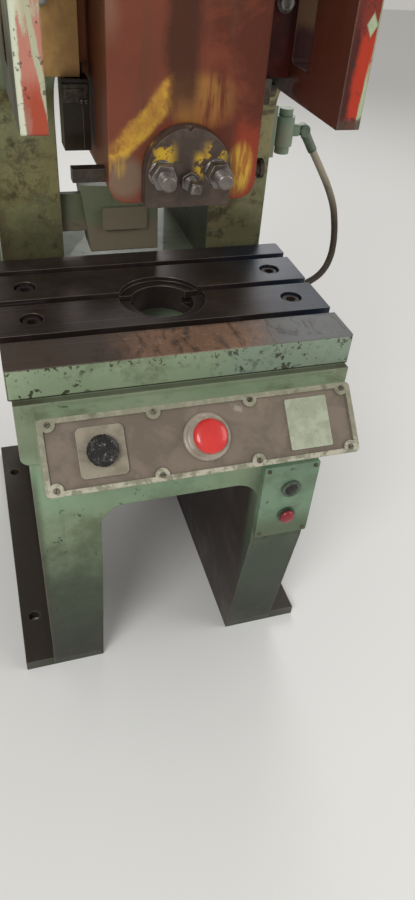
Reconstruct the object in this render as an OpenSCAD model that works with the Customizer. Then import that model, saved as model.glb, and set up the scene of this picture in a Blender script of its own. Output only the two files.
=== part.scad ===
// Open-back mechanical press of about 25 tonnes on its own legs, all sizes in millimetres.
// X runs to the right, Y to the back and Z up. The origin is on the floor, in the middle of
// the four anchor holes. Distances named "back" are measured behind the front face of the
// table, and distances named "up" are measured above the top of the table.

/* [Floor and legs] */
// Height of the top of the table above the floor
table_height = 842; // [780:1:900]
// Distance between the left and the right anchor holes
anchor_pitch_x = 584; // [560:1:620]
// Distance between the front and the rear anchor holes
anchor_pitch_y = 520; // [460:1:560]
// Distance of the front anchor holes behind the front face of the table
anchor_back = 182; // [150:1:220]
// Diameter of an anchor hole
anchor_hole_d = 26; // [18:1:32]
// Thickness of the foot rails
rail_t = 25; // [16:1:40]
// Distance of the outer edge of a foot rail from the middle
rail_reach = 323; // [310:1:340]
// Distance of the toes behind the front face of the table
toe_back = 56; // [30:1:90]
// Distance of the heels behind the front face of the table
heel_back = 822; // [780:1:860]
// Width of the passage between the legs
leg_gap = 300; // [240:1:340]
// Width of a leg seen from the front
leg_w = 111; // [90:1:120]
// Wall of the legs
leg_wall = 30; // [20:1:40]
// Height of the knee where the front of the legs starts to lean back
knee_z = 372; // [300:1:400]
// Height of the arch between the legs
arch_z = 541; // [500:1:600]
// Radius of the corners of the arch
arch_r = 48; // [20:1:80]

/* [Bed and table] */
// Width of the table
table_w = 560; // [500:1:600]
// Depth of the table from front to back
table_l = 360; // [320:1:372]
// Thickness of the table
table_t = 53; // [45:1:70]
// Width of the mouth of a T slot
slot_w = 18; // [12:1:20]
// Width of the wide part of a T slot
slot_foot_w = 30; // [24:1:36]
// Depth of the wide part of a T slot
slot_foot_h = 13; // [8:1:16]
// Whole depth of a T slot
slot_depth = 34; // [26:1:38]
// Diameter of the hole in the middle of the table
drop_d = 110; // [80:1:140]
// Diameter of the recess around the hole in the table
recess_d = 150; // [140:1:170]
// Depth of the recess around the hole in the table
recess_depth = 8; // [4:1:12]
// Distance of the table screws from the middle
table_screw_x = 225; // [200:1:240]
// Width of the bed under the table
bed_w = 548; // [520:1:560]
// Height of the bed under the table
bed_h = 118; // [90:1:150]
// Reach of the bed in front of the table
bed_ahead = 14; // [0:1:20]
// Wall of the bed
bed_wall = 40; // [25:1:50]
// Diameter of the drop hole through the bed
bed_hole_d = 190; // [150:1:230]

/* [Columns and head] */
// Distance of the columns behind the front face of the table
column_back = 383; // [376:1:400]
// Distance of the rear of the columns and of the head behind the front face of the table
column_rear = 720; // [700:1:740]
// Width of the open back between the columns
column_gap = 280; // [240:1:300]
// Width of a column
column_w = 113; // [90:1:125]
// Radius of the throat under the head
throat_r = 85; // [40:1:100]
// Height of the underside of the head above the table
head_up = 315; // [300:1:330]
// Height of the top of the head above the table
head_top_up = 950; // [930:1:980]
// Distance of the front of the head behind the front face of the table
head_back = 14; // [5:1:30]
// Distance between the inner faces of the cheeks
cheek_gap = 376; // [368:1:384]
// Thickness of a cheek
cheek_t = 33; // [25:1:45]
// Thickness of the front bearing wall
front_wall_t = 80; // [60:1:90]
// Thickness of the rear bearing wall
rear_wall_t = 70; // [50:1:90]

/* [Ram] */
// Distance of the ram axis behind the front face of the table
ram_back = 180; // [176:1:184]
// Width of the ram
ram_w = 212; // [204:1:216]
// Distance of the front of the ram ahead of its axis
ram_ahead = 101; // [95:1:105]
// Distance of the rear of the ram behind its axis
ram_behind = 103; // [98:1:106]
// Height of the underside of the ram above the table, at the top of its stroke
daylight = 205; // [190:1:212]
// Height of the ram
ram_h = 420; // [410:1:424]
// Radius of the lower corners of the ram
ram_corner_r = 25; // [8:1:40]
// Stroke of the ram
stroke = 40; // [20:1:40]
// Width over the guide wings of the ram
wing_w = 300; // [280:1:310]
// Thickness of the guide wings
wing_t = 35.7; // [25:0.1:36]
// Running clearance of the guides
guide_gap = 0.3; // [0.1:0.1:0.6]
// Thickness of the gibs that keep the wings
gib_t = 26; // [16:1:34]
// Width of the gap between the ram and a gib
gib_gap = 16; // [10:1:24]
// Diameter of the bore for the shank of a tool
shank_d = 40; // [30:1:50]
// Depth of the bore for the shank of a tool
shank_depth = 75; // [60:1:90]
// Width of the clamp cap
cap_w = 120; // [108:1:130]
// Reach of the clamp cap in front of the ram
cap_ahead = 22; // [15:1:35]
// Distance of the clamp studs from the middle
stud_x = 39; // [36:1:42]
// Diameter of the clamp studs
stud_d = 20; // [18:1:24]
// Width of the clamp nuts across their flats
nut_af = 34; // [30:1:36]

/* [Drive] */
// Height of the crankshaft above the table
crank_up = 760; // [756:1:764]
// Diameter of the crank pin
pin_d = 70; // [60:1:72]
// Diameter of the front journal
front_journal_d = 114; // [112:1:120]
// Diameter of the rear journal
rear_journal_d = 90; // [84:1:96]
// Diameter of the flywheel seat of the shaft
seat_d = 80; // [70:1:82]
// Running clearance on the radius of a shaft
run_gap = 0.05; // [0.02:0.01:0.08]
// Wall of the bearing bushes
bush_wall = 12; // [6:1:16]
// Thickness of the bush in the pitman
pitman_bush_wall = 8; // [5:1:10]
// Thickness of the pitman
pitman_t = 80; // [60:1:80]
// Diameter of the ball under the pitman
ball_d = 50; // [44:1:52]
// Height of the middle of the ball above the table
ball_up = 480; // [476:1:484]
// Diameter of the thread of the pitman screw
screw_d = 36; // [30:1:38]
// Diameter of the flywheel
flywheel_d = 480; // [440:1:500]
// Width of the flywheel
flywheel_w = 100; // [96:1:104]
// Gap between the rear of the head and the flywheel
flywheel_gap = 22; // [20:1:30]
// Number of belts
belt_count = 3; // [2:1:3]
// Distance between neighbouring belts
belt_pitch = 19; // [17:1:20]
// Depth of a belt groove
groove_depth = 11; // [9:1:13]
// Diameter of the motor pulley
pulley_d = 100; // [90:1:120]
// Height of the motor shaft above the crankshaft
motor_rise = 340; // [335:1:360]
// Diameter of the motor over its fins
motor_d = 196; // [170:1:200]
// Length of the finned body of the motor
motor_l = 200; // [160:1:230]
// Height of the motor shaft above its feet
motor_foot = 100; // [100:1:112]
// Clearance between the flywheel and its guard
guard_gap = 22; // [15:1:30]
// Thickness of the guard sheet
guard_sheet = 3; // [2:0.5:4]
// Diameter of the brake drum
drum_d = 220; // [180:1:240]

/* [Console and buttons] */
// Width of the console
console_w = 492; // [460:1:520]
// Slant height of the console face
console_h = 113; // [105:1:125]
// Reach of the top edge of the console in front of the table
console_ahead = 65; // [55:1:75]
// Depth of the top edge of the console below the table top
console_drop = 43.5; // [40:0.5:50]
// Slant of the console face
console_tilt = 45; // [35:1:50]
// Thickness of the console cover
cover_t = 8; // [5:1:10]
// Height of the raised rim of the console cover
rim_h = 3; // [1:0.5:5]
// Width of the raised rim of the console cover
rim_w = 8; // [6:1:14]
// Distance of the corner screws from the middle of the console
corner_screw_x = 231; // [220:1:232]
// Distance of the middle screws from the middle of the console
middle_screw_x = 76; // [60:1:90]
// Diameter of the emergency button
mushroom_d = 52; // [40:1:56]
// Diameter of the ring of the emergency button
mushroom_ring_d = 74; // [60:1:80]
// Travel of the emergency button
mushroom_travel = 5; // [3:0.5:6]
// Distance of the palm button left of the middle
palm_x = 159; // [140:1:170]
// Diameter of the palm button
palm_d = 48; // [40:1:54]
// Width of the plates beside the emergency button
plate_w = 70; // [60:1:80]
// Width of the button station on the right leg
station_w = 110; // [90:1:111]
// Height of the button station on the right leg
station_h = 185; // [150:1:195]
// Depth of the button station on the right leg
station_t = 15; // [12:1:25]
// Distance of the top of the button station below the table top
station_drop = 255; // [245:1:275]
// Diameter of the start button
start_d = 24; // [18:1:28]
// Diameter of the stop button
stop_d = 30; // [24:1:36]

/* [Air supply] */
// Diameter of the air regulator
regulator_d = 36; // [30:1:44]
// Diameter of the air hose
hose_d = 14; // [10:1:16]

/* [Hidden] */
$fn = 64;

mint = [0.47, 0.60, 0.47];
maroon = [0.36, 0.10, 0.08];
brick = [0.50, 0.17, 0.12];
dark_steel = [0.16, 0.14, 0.13];
bright_steel = [0.62, 0.62, 0.60];
bronze = [0.66, 0.48, 0.24];
taupe = [0.40, 0.36, 0.31];
pale_green = [0.63, 0.68, 0.58];
pale_grey = [0.66, 0.65, 0.62];
red = [0.78, 0.12, 0.11];
black = [0.05, 0.05, 0.05];
ochre = [0.52, 0.45, 0.25];
teal = [0.25, 0.42, 0.36];
motor_grey = [0.36, 0.42, 0.44];

table_front_y = -(anchor_pitch_y / 2 + anchor_back);
leg_x = leg_gap / 2;
leg_out_x = leg_x + leg_w;
apron_back = 10 - bed_ahead;
bed_top_z = table_height - table_t;
bed_bottom_z = bed_top_z - bed_h;
bed_corner_r = 16;
column_x = column_gap / 2;
column_out_x = column_x + column_w;
shoulder_up = 520;
leg_rib_t = 25;
leg_rib_pitch = 250;
table_screw_depth = 35;
cheek_x = cheek_gap / 2;
cheek_out_x = cheek_x + cheek_t;
head_plate_t = 30;
top_deck_t = 25;
sharp_r = 3;
hatch_back = 170;
hatch_w = 260;
hatch_l = 200;
cover_up = 560;
cover_top = head_top_up - 20;
dish_w = 250;
dish_wall = 6;
weld = 2;
flat = 0.01;
tuck = 0.05;

ram_y = table_front_y + ram_back;
ram_front_back = ram_back - ram_ahead;
ram_rear_back = ram_back + ram_behind;
ram_top_up = daylight + ram_h;
wing_back = ram_rear_back - 25 - wing_t;
gib_back = wing_back - guide_gap - gib_t;
guide_rear_back = ram_rear_back + 17;
gib_x = ram_w / 2 + gib_gap;
gib_up = head_up + 23;
guide_top_up = ram_top_up + 60;
wing_up = head_up + 36;
cap_up = daylight;
cap_arch_up = daylight + 104 - cap_w / 2;
stud_up = daylight + 47;
set_screw_up = daylight + 38;
set_screw_d = 16;
nut_h = 20;
stud_end = 12;
lug_d = 16;
fit_gap = 0.3;
close_gap = 0.05;
crank_r = stroke / 2;
pin_up = crank_up + crank_r;
window_back = 129;
window_w = 60;
window_up = 360;
window_h = 120;

front_wall_back = ram_rear_back + 7;
front_wall_up = 640;
rear_wall_back = column_rear - rear_wall_t;
front_journal_back = ram_back + pitman_t / 2 + 16;
drum_w = 60;
drum_back = rear_wall_back - drum_w - 30;
flywheel_bore_r = 70;
flywheel_back = column_rear + flywheel_gap;
clutch_disc_back = flywheel_back + 80;
clutch_disc_t = 12;
groove_first = flywheel_back + (flywheel_w - (belt_count - 1) * belt_pitch) / 2;
motor_up = crank_up + motor_rise;
motor_rear_back = column_rear - 18;
motor_front_back = motor_rear_back - motor_l;
pulley_w = (belt_count - 1) * belt_pitch + 26;
pulley_back = groove_first - 13;
belt_w = 10;
belt_seat = 0.5;
guard_depth = 160;
guard_flange = 20;
guard_screw_out = guard_gap + (guard_flange + guard_sheet) / 2;
plate_screw_x = 150;
plate_screw_z = 140;
cover_screw_d = 8;

function back(d) = table_front_y + d;
function up(h) = table_height + h;

// Outline in the Y-Z plane, pushed from x0 to x1
module across(x0, x1) {
    translate([x0, 0, 0])
        rotate([90, 0, 90])
            linear_extrude(x1 - x0)
                children();
}

// Outline in the X-Z plane, pushed from the distance b0 to b1 behind the table front
module deep(b0, b1) {
    translate([0, back(b1), 0])
        rotate([90, 0, 0])
            linear_extrude(b1 - b0)
                children();
}

// Box between two x values, two distances behind the table front and two heights
module block(x0, x1, b0, b1, z0, z1) {
    translate([x0, back(b0), z0])
        cube([x1 - x0, b1 - b0, z1 - z0]);
}

module both_sides() {
    children();
    mirror([1, 0, 0])
        children();
}

// Local Z points to the back, starting at the distance b behind the table front
module facing_back(x, b, z) {
    translate([x, back(b), z])
        rotate([-90, 0, 0])
            children();
}

// Local Z points to the right
module facing_right(x, b, z) {
    translate([x, back(b), z])
        rotate([0, 90, 0])
            children();
}

module ring(r_out, r_in, h) {
    difference() {
        cylinder(r = r_out, h = h);
        translate([0, 0, -1])
            cylinder(r = r_in, h = h + 2);
    }
}

// Rectangle about its middle with true round corners
module rounded(w, h, r) {
    square([w - 2 * r, h], center = true);
    square([w, h - 2 * r], center = true);
    for (sx = [-1, 1], sy = [-1, 1])
        translate([sx * (w / 2 - r), sy * (h / 2 - r)])
            circle(r);
}

// Slot shape that lets a round part move by the throw to the right
module oval(r, throw) {
    circle(r);
    translate([throw, 0])
        circle(r);
    translate([0, -r])
        square([throw, 2 * r]);
}

// Outline of a belt run: a large and a small circle with their common tangents, whose ends
// lie a hair inside the circles
module belt_outline(r_low, r_high, rise) {
    tilt = asin((r_low - r_high) / rise);
    low = r_low - tuck;
    high = r_high - tuck;
    circle(r_low);
    translate([0, rise])
        circle(r_high);
    polygon([
        [-low * cos(tilt), low * sin(tilt)],
        [low * cos(tilt), low * sin(tilt)],
        [high * cos(tilt), rise + high * sin(tilt)],
        [-high * cos(tilt), rise + high * sin(tilt)]
    ]);
}

// Frame of the console face: X right, Y up the slope, Z out of the face
module on_console(x, down) {
    translate([x, back(-console_ahead), up(-console_drop)])
        rotate([console_tilt, 0, 0])
            translate([0, -down, 0])
                children();
}

// Frame of the button station: X right, Y up, Z towards the operator
module on_station(x, down) {
    translate([x, back(apron_back - station_t), up(-station_drop - down)])
        rotate([90, 0, 0])
            children();
}

module foot_rail() {
    difference() {
        block(leg_x, rail_reach, toe_back, heel_back, 0, rail_t);
        for (sy = [-1, 1])
            translate([anchor_pitch_x / 2, sy * anchor_pitch_y / 2, -1])
                cylinder(d = anchor_hole_d, h = rail_t + 2);
    }
}

// Side outline of a leg between its front and rear lines, both moved inwards
module leg_side(inset_front, inset_rear) {
    polygon([
        [back(toe_back + inset_front), 0],
        [back(apron_back + inset_front), knee_z],
        [back(apron_back + inset_front), bed_bottom_z + weld],
        [back(column_rear - inset_rear), bed_bottom_z + weld],
        [back(heel_back - inset_rear), 0]
    ]);
}

module leg() {
    across(leg_x, leg_x + leg_wall)
        leg_side(0, 0);
    across(leg_x, leg_out_x)
        difference() {
            leg_side(0, 0);
            leg_side(leg_wall, leg_wall);
        }
    for (sy = [-1, 1])
        translate([leg_x + leg_wall - weld, (sy * leg_rib_pitch - leg_rib_t) / 2, rail_t - weld])
            cube([leg_w - leg_wall + weld - 12, leg_rib_t, bed_bottom_z - rail_t + 2 * weld]);
    foot_rail();
}

// Wall over the passage between the legs, at the front or the rear
module apron(b0, b1) {
    deep(b0, b1)
        difference() {
            translate([-leg_x - weld, arch_z - arch_r])
                square([leg_gap + 2 * weld, bed_bottom_z + weld - arch_z + arch_r]);
            translate([0, arch_z - 2 * arch_r])
                rounded(leg_gap, 4 * arch_r, arch_r);
        }
}

module bed() {
    difference() {
        deep(-bed_ahead, column_rear)
            translate([0, (bed_top_z + bed_bottom_z) / 2])
                rounded(bed_w, bed_h, bed_corner_r);
        block(-bed_w / 2 + bed_wall, bed_w / 2 - bed_wall, bed_wall - bed_ahead, column_rear - bed_wall,
            bed_bottom_z - 1, bed_top_z - bed_wall);
        translate([0, ram_y, bed_bottom_z - 1])
            cylinder(d = bed_hole_d, h = bed_h + 2);
    }
}

module bed_top_edge() {
    block(-bed_w / 2, bed_w / 2, -bed_ahead, column_rear, bed_top_z - bed_corner_r, bed_top_z);
}

module column() {
    deep(column_back, column_rear)
        polygon([
            [column_x, bed_top_z - bed_corner_r],
            [column_out_x, bed_top_z - bed_corner_r],
            [column_out_x, up(shoulder_up)],
            [cheek_out_x, up(shoulder_up + 80)],
            [column_x, up(shoulder_up + 80)]
        ]);
    across(column_x, column_out_x)
        difference() {
            translate([back(column_back) - throat_r, up(head_up) - throat_r])
                square([throat_r + weld, throat_r + weld]);
            translate([back(column_back) - throat_r, up(head_up) - throat_r])
                circle(throat_r);
        }
}

module cheek() {
    across(cheek_x, cheek_out_x)
        translate([back((head_back + column_rear) / 2), up((head_up + head_top_up) / 2)])
            rounded(column_rear - head_back, head_top_up - head_up, sharp_r);
}

// Way on the inside of a cheek, behind and beside a wing of the ram
module way() {
    side_x = wing_w / 2 + guide_gap;
    lip_back = wing_back + wing_t + guide_gap;
    block(side_x, cheek_x + weld, gib_back + gib_t, guide_rear_back, up(gib_up), up(guide_top_up));
    block(gib_x - 10, cheek_x + weld, lip_back, guide_rear_back, up(gib_up), up(guide_top_up));
}

module head_walls() {
    inner = cheek_x + weld;
    block(-inner, inner, guide_rear_back - weld, guide_rear_back + 30, up(head_up), up(front_wall_up + weld));
    block(-inner, inner, front_wall_back, front_wall_back + front_wall_t,
        up(front_wall_up), up(head_top_up - weld));
    block(-inner, inner, rear_wall_back, column_rear, up(head_up), up(head_top_up - weld));
    block(-inner, inner, guide_rear_back, column_rear, up(head_up), up(head_up + head_plate_t));
    difference() {
        block(-inner, inner, head_back, column_rear, up(head_top_up - top_deck_t), up(head_top_up));
        translate([0, back(hatch_back), up(head_top_up - top_deck_t) - 1])
            linear_extrude(top_deck_t + 2)
                rounded(hatch_w, hatch_l, 20);
    }
}

module shaft_bores() {
    facing_back(0, front_wall_back - 1, up(crank_up))
        cylinder(r = front_journal_d / 2 + bush_wall + close_gap, h = front_wall_t + 2);
    facing_back(0, rear_wall_back - 1, up(crank_up))
        cylinder(r = rear_journal_d / 2 + bush_wall + close_gap, h = rear_wall_t + 2);
}

module cheek_window() {
    facing_right(cheek_x - 1, window_back + window_w / 2, up(window_up + window_h / 2))
        linear_extrude(cheek_t + 2)
            rounded(window_h, window_w, 6);
}

module frame() {
    color(mint)
        difference() {
            union() {
                both_sides() {
                    leg();
                    column();
                    cheek();
                    way();
                }
                apron(apron_back, apron_back + leg_wall);
                apron(column_rear - leg_wall, column_rear);
                bed();
                difference() {
                    bed_top_edge();
                    translate([0, ram_y, bed_bottom_z])
                        cylinder(d = bed_hole_d, h = bed_h + 2);
                }
                head_walls();
            }
            shaft_bores();
            both_sides()
                cheek_window();
            at_table_screws()
                translate([0, 0, -table_screw_depth - 1])
                    cylinder(d = 20 + 2 * close_gap, h = table_screw_depth + 2);
            at_gib_screws()
                translate([0, 0, 1])
                    cylinder(d = 12 + 2 * close_gap, h = 60);
            at_front_cover_screws()
                cylinder(d = cover_screw_d + 2 * close_gap, h = 30);
            at_top_cover_screws()
                cylinder(d = cover_screw_d + 2 * close_gap, h = 30);
            at_guard_screws()
                cylinder(d = cover_screw_d + 2 * close_gap, h = 30);
            at_plate_screws()
                cylinder(d = cover_screw_d + 2 * close_gap, h = 30);
            at_bracket_screws()
                cylinder(d = cover_screw_d + 2 * close_gap, h = 30);
            at_station_screws()
                translate([0, 0, -station_t - 10])
                    cylinder(d = 6 + 2 * close_gap, h = 12);
        }
}

module at_table_screws() {
    for (sx = [-1, 1], b = [142, 252])
        translate([sx * table_screw_x, back(b), up(-table_t)])
            children();
}

module table() {
    screw_seat_d = 38;
    color(dark_steel)
        difference() {
            translate([0, back(table_l / 2), up(-table_t)])
                linear_extrude(table_t)
                    rounded(table_w, table_l, 5);
            for (b = [86, 198, 306])
                t_slot(b);
            translate([0, ram_y, up(-table_t) - 1])
                cylinder(d = drop_d, h = table_t + 2);
            translate([0, ram_y, up(-recess_depth)])
                cylinder(d = recess_d, h = recess_depth + 1);
            at_table_screws() {
                cylinder(d = 21, h = table_t + 1);
                translate([0, 0, table_t - 24])
                    cylinder(d = screw_seat_d, h = 25);
            }
        }
}

module t_slot(b) {
    w = table_w + 2;
    block(-w / 2, w / 2, b - slot_w / 2, b + slot_w / 2, up(-slot_depth), up(1));
    block(-w / 2, w / 2, b - slot_foot_w / 2, b + slot_foot_w / 2,
        up(-slot_depth), up(-slot_depth + slot_foot_h));
}

module table_screws() {
    color(dark_steel)
        at_table_screws()
            difference() {
                union() {
                    translate([0, 0, table_t - 24])
                        cylinder(d = 30, h = 20);
                    translate([0, 0, -table_screw_depth])
                        cylinder(d = 20, h = table_screw_depth + table_t - 24);
                }
                translate([0, 0, table_t - 14])
                    cylinder(d = 19, h = 11, $fn = 6);
            }
}

module console_box() {
    inner_w = console_w - 20;
    color(mint)
        difference() {
            across(-console_w / 2, console_w / 2)
                console_side();
            on_console(0, console_h / 2)
                translate([-inner_w / 2, -console_h / 2 + 12, -cover_t - 37])
                    cube([inner_w, console_h - 24, 40]);
            at_console_screws()
                translate([0, 0, -cover_t - 15])
                    cylinder(d = 6 + 2 * close_gap, h = 20);
        }
}

// Side outline of the console: the slanted face, the underside and the back on the bed
module console_side() {
    s = sin(console_tilt);
    c = cos(console_tilt);
    top_back = -console_ahead + cover_t * s;
    top_up = -console_drop - cover_t * c;
    polygon([
        [back(top_back), up(top_up)],
        [back(top_back - console_h * c), up(top_up - console_h * s)],
        [back(-bed_ahead - 85), up(-table_t - bed_h + 6)],
        [back(-bed_ahead), up(-table_t - bed_h + 6)],
        [back(-bed_ahead), up(-table_t - 7)]
    ]);
}

module at_console_screws() {
    for (sx = [-1, 1]) {
        on_console(sx * corner_screw_x, 9)
            children();
        on_console(sx * corner_screw_x, console_h - 9)
            children();
        on_console(sx * middle_screw_x, 9)
            children();
        on_console(sx * middle_screw_x, console_h - 9)
            children();
    }
}

module console_cover() {
    lobe_r = 11;
    color(taupe)
        difference() {
            union() {
                on_console(0, console_h / 2)
                    translate([0, 0, -cover_t])
                        linear_extrude(cover_t)
                            rounded(console_w, console_h, 8);
                difference() {
                    on_console(0, console_h / 2)
                        linear_extrude(rim_h)
                            rounded(console_w, console_h, 8);
                    on_console(0, console_h / 2)
                        translate([0, 0, -flat])
                            linear_extrude(rim_h + 1)
                                rounded(console_w - 2 * rim_w, console_h - 2 * rim_w, 5);
                }
                intersection() {
                    at_console_screws()
                        cylinder(r = lobe_r, h = rim_h);
                    on_console(0, console_h / 2)
                        translate([0, 0, -cover_t])
                            linear_extrude(cover_t + rim_h)
                                rounded(console_w, console_h, 8);
                }
            }
            at_console_screws()
                translate([0, 0, -cover_t - 1])
                    cylinder(d = 6.6, h = cover_t + rim_h + 2);
            at_mushroom()
                translate([0, 0, -cover_t - 1])
                    cylinder(d = 22.5, h = cover_t + 2);
            at_palm()
                translate([0, 0, -cover_t - 1])
                    cylinder(d = 22.5, h = cover_t + 2);
        }
}

module at_mushroom() {
    on_console(0, console_h / 2)
        children();
}

module at_palm() {
    on_console(-palm_x, console_h / 2)
        children();
}

module panel_screw(head_d, length) {
    difference() {
        union() {
            cylinder(d = head_d, h = 3);
            translate([0, 0, -length])
                cylinder(d = 6, h = length + 1);
        }
        translate([-head_d, -0.8, 1.6])
            cube([2 * head_d, 1.6, 3]);
    }
}

module panel_screws() {
    color(bright_steel) {
        at_console_screws()
            translate([0, 0, rim_h])
                panel_screw(9, 18);
        at_station_screws()
            panel_screw(8, station_t + 6);
    }
}

module e_stop_ring() {
    color(pale_grey)
        at_mushroom() {
            rotate_extrude()
                polygon([
                    [8 + fit_gap, 0],
                    [mushroom_ring_d / 2, 0],
                    [mushroom_ring_d / 2, 3],
                    [mushroom_ring_d / 2 - 2, 5],
                    [mushroom_ring_d / 2 - 8, 6],
                    [8 + fit_gap, 6]
                ]);
            translate([0, 0, -cover_t - 6])
                ring(11, 8 + fit_gap, cover_t + 7);
        }
}

// Domed cap on a stem, as turned, with its underside at the height lift
module mushroom(d, lift, dome, stem_r, stem_down) {
    rotate_extrude()
        intersection() {
            union() {
                translate([0, lift])
                    square([d / 2, dome * 0.4]);
                translate([0, lift + dome * 0.4])
                    intersection() {
                        translate([0, dome * 0.6 - dome_radius(d / 2, dome * 0.6)])
                            circle(dome_radius(d / 2, dome * 0.6), $fn = 160);
                        square([d / 2, dome]);
                    }
                translate([0, -stem_down])
                    square([stem_r, stem_down + lift + 1]);
            }
            translate([0, -stem_down - 1])
                square([d, stem_down + lift + 2 * dome]);
        }
}

function dome_radius(half, rise) = (half * half + rise * rise) / (2 * rise);

module e_stop_button() {
    color(red)
        at_mushroom()
            mushroom(mushroom_d, 7 + mushroom_travel, 11, 8, cover_t + 8);
}

module palm_plate() {
    color(taupe)
        at_palm()
            difference() {
                union() {
                    linear_extrude(5)
                        rounded(plate_w, 74, 8);
                    translate([0, 0, -cover_t - 6])
                        cylinder(r = 11, h = cover_t + 7);
                }
                translate([0, 0, -cover_t - 8])
                    cylinder(r = 8 + fit_gap, h = cover_t + 20);
            }
}

module palm_button() {
    color(black)
        at_palm()
            mushroom(palm_d, 11, 13, 8, cover_t + 8);
}

module blank_plate() {
    color(pale_green)
        on_console(167, console_h / 2)
            linear_extrude(2.5)
                rounded(plate_w, 80, 3);
}

module contact_block() {
    difference() {
        translate([-17, -20, -cover_t - 33])
            cube([34, 40, 33]);
        translate([0, 0, -cover_t - 22])
            cylinder(d = 22.6, h = 30);
    }
}

module contact_blocks() {
    color(black) {
        at_mushroom()
            contact_block();
        at_palm()
            contact_block();
    }
}

module at_station_screws() {
    mid_x = leg_x + leg_w / 2;
    for (sx = [-1, 1], down = [9, station_h - 9])
        on_station(mid_x + sx * (station_w / 2 - 9), down)
            children();
}

module at_start() {
    on_station(leg_x + leg_w / 2 + 3, 59)
        children();
}

module at_stop() {
    on_station(leg_x + leg_w / 2 + 3, 129)
        children();
}

module station_box() {
    mid_x = leg_x + leg_w / 2;
    color(mint)
        difference() {
            on_station(mid_x, station_h / 2)
                translate([0, 0, -station_t])
                    linear_extrude(station_t)
                        rounded(station_w, station_h, 4);
            on_station(mid_x, station_h / 2)
                translate([0, 0, -station_t - 1])
                    linear_extrude(station_t - 3)
                        rounded(station_w - 32, station_h - 14, 4);
            at_start()
                translate([0, 0, -station_t])
                    cylinder(d = 16.5, h = station_t + 1);
            at_stop()
                translate([0, 0, -station_t])
                    cylinder(d = 16.5, h = station_t + 1);
            at_station_screws()
                translate([0, 0, -station_t - 1])
                    cylinder(d = 6.6, h = station_t + 2);
        }
}

module station_rings() {
    color(taupe) {
        at_start() {
            ring(19, start_d / 2 + fit_gap, 5);
            translate([0, 0, -8])
                ring(8, 5 + fit_gap, 8.5);
            ring(13, 5 + fit_gap, 0.5);
        }
        at_stop() {
            ring(18, 5 + fit_gap, 3);
            translate([0, 0, -8])
                ring(8, 5 + fit_gap, 8.5);
        }
    }
}

module start_button() {
    color(black)
        at_start()
            mushroom(start_d, 4, 4, 5, 8);
}

module stop_button() {
    color(red)
        at_stop()
            mushroom(stop_d, 7, 9, 5, 8);
}

module gib(inner_x) {
    difference() {
        block(inner_x, cheek_x - fit_gap, gib_back, gib_back + gib_t, up(gib_up), up(guide_top_up));
        at_gib_screws()
            cylinder(d = 13, h = 200, center = true);
    }
}

module at_gib_screws() {
    for (sx = [-1, 1], h = [95, 175, 255, 325])
        facing_back(sx * (wing_w / 2 + 20), gib_back, up(gib_up + h))
            children();
}

module left_gib() {
    color(ochre)
        mirror([1, 0, 0])
            gib(gib_x);
}

module right_gib() {
    color(maroon)
        gib(gib_x);
}

module gib_screws() {
    color(bright_steel)
        at_gib_screws() {
            translate([0, 0, -8])
                cylinder(d = 22, h = 8, $fn = 6);
            translate([0, 0, -1])
                cylinder(d = 12, h = 58);
        }
}

module drip_box() {
    color(black)
        difference() {
            block(-150, -ram_w / 2 - 6, gib_back - 14, gib_back + 24, up(daylight + 40), up(gib_up));
            block(-144, -ram_w / 2 - 12, gib_back - 8, gib_back + 18, up(daylight + 46), up(gib_up + 1));
            block(-151, -145, gib_back - 15, gib_back - 13, up(gib_up - 20), up(gib_up + 1));
        }
}

module gib_bracket() {
    color(pale_grey)
        difference() {
            union() {
                block(ram_w / 2 + 14, ram_w / 2 + 54, gib_back - 8, gib_back + 20,
                    up(gib_up - 36), up(gib_up));
                facing_right(ram_w / 2 + 53, gib_back + 6, up(gib_up - 18))
                    cylinder(d = 20, h = 12);
            }
            facing_right(ram_w / 2 + 40, gib_back + 6, up(gib_up - 18))
                cylinder(d = 10, h = 60);
        }
}

module main_bushes() {
    color(bronze) {
        facing_back(0, front_wall_back, up(crank_up))
            ring(front_journal_d / 2 + bush_wall, front_journal_d / 2 + run_gap, front_wall_t);
        facing_back(0, front_wall_back - 8, up(crank_up))
            ring(front_journal_d / 2 + bush_wall + 12, front_journal_d / 2 + run_gap, 8);
        facing_back(0, rear_wall_back, up(crank_up))
            ring(rear_journal_d / 2 + bush_wall, rear_journal_d / 2 + run_gap, rear_wall_t);
        facing_back(0, rear_wall_back - 8, up(crank_up))
            ring(rear_journal_d / 2 + bush_wall + 12, rear_journal_d / 2 + run_gap, 8);
    }
}

module at_front_cover_screws() {
    for (sx = [-1, 1], h = [cover_up + 30, (cover_up + cover_top) / 2, cover_top - 30])
        facing_back(sx * (cheek_x + cheek_t / 2), head_back, up(h))
            children();
}

module at_top_cover_screws() {
    for (sx = [-1, 1], sy = [-1, 0, 1])
        translate([sx * (hatch_w / 2 + 12), back(hatch_back + sy * (hatch_l / 2 + 8)), up(head_top_up)])
            rotate([180, 0, 0])
                children();
}

module front_cover() {
    color(mint)
        difference() {
            union() {
                deep(head_back - 10, head_back)
                    translate([0, up((cover_up + cover_top) / 2)])
                        rounded(2 * cheek_out_x, cover_top - cover_up, 14);
                deep(head_back - 30, head_back - 9)
                    translate([0, up(crank_up)])
                        rounded(dish_w, dish_w, 60);
            }
            deep(head_back - 30 + dish_wall, head_back + 1)
                translate([0, up(crank_up)])
                    rounded(dish_w - 2 * dish_wall, dish_w - 2 * dish_wall, 60 - dish_wall);
            at_front_cover_screws()
                cylinder(d = cover_screw_d + 1, h = 60, center = true);
        }
}

module top_cover() {
    color(mint)
        difference() {
            translate([0, back(hatch_back), up(head_top_up)])
                linear_extrude(8)
                    rounded(hatch_w + 44, hatch_l + 36, 14);
            at_top_cover_screws()
                cylinder(d = cover_screw_d + 1, h = 60, center = true);
        }
}

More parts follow.
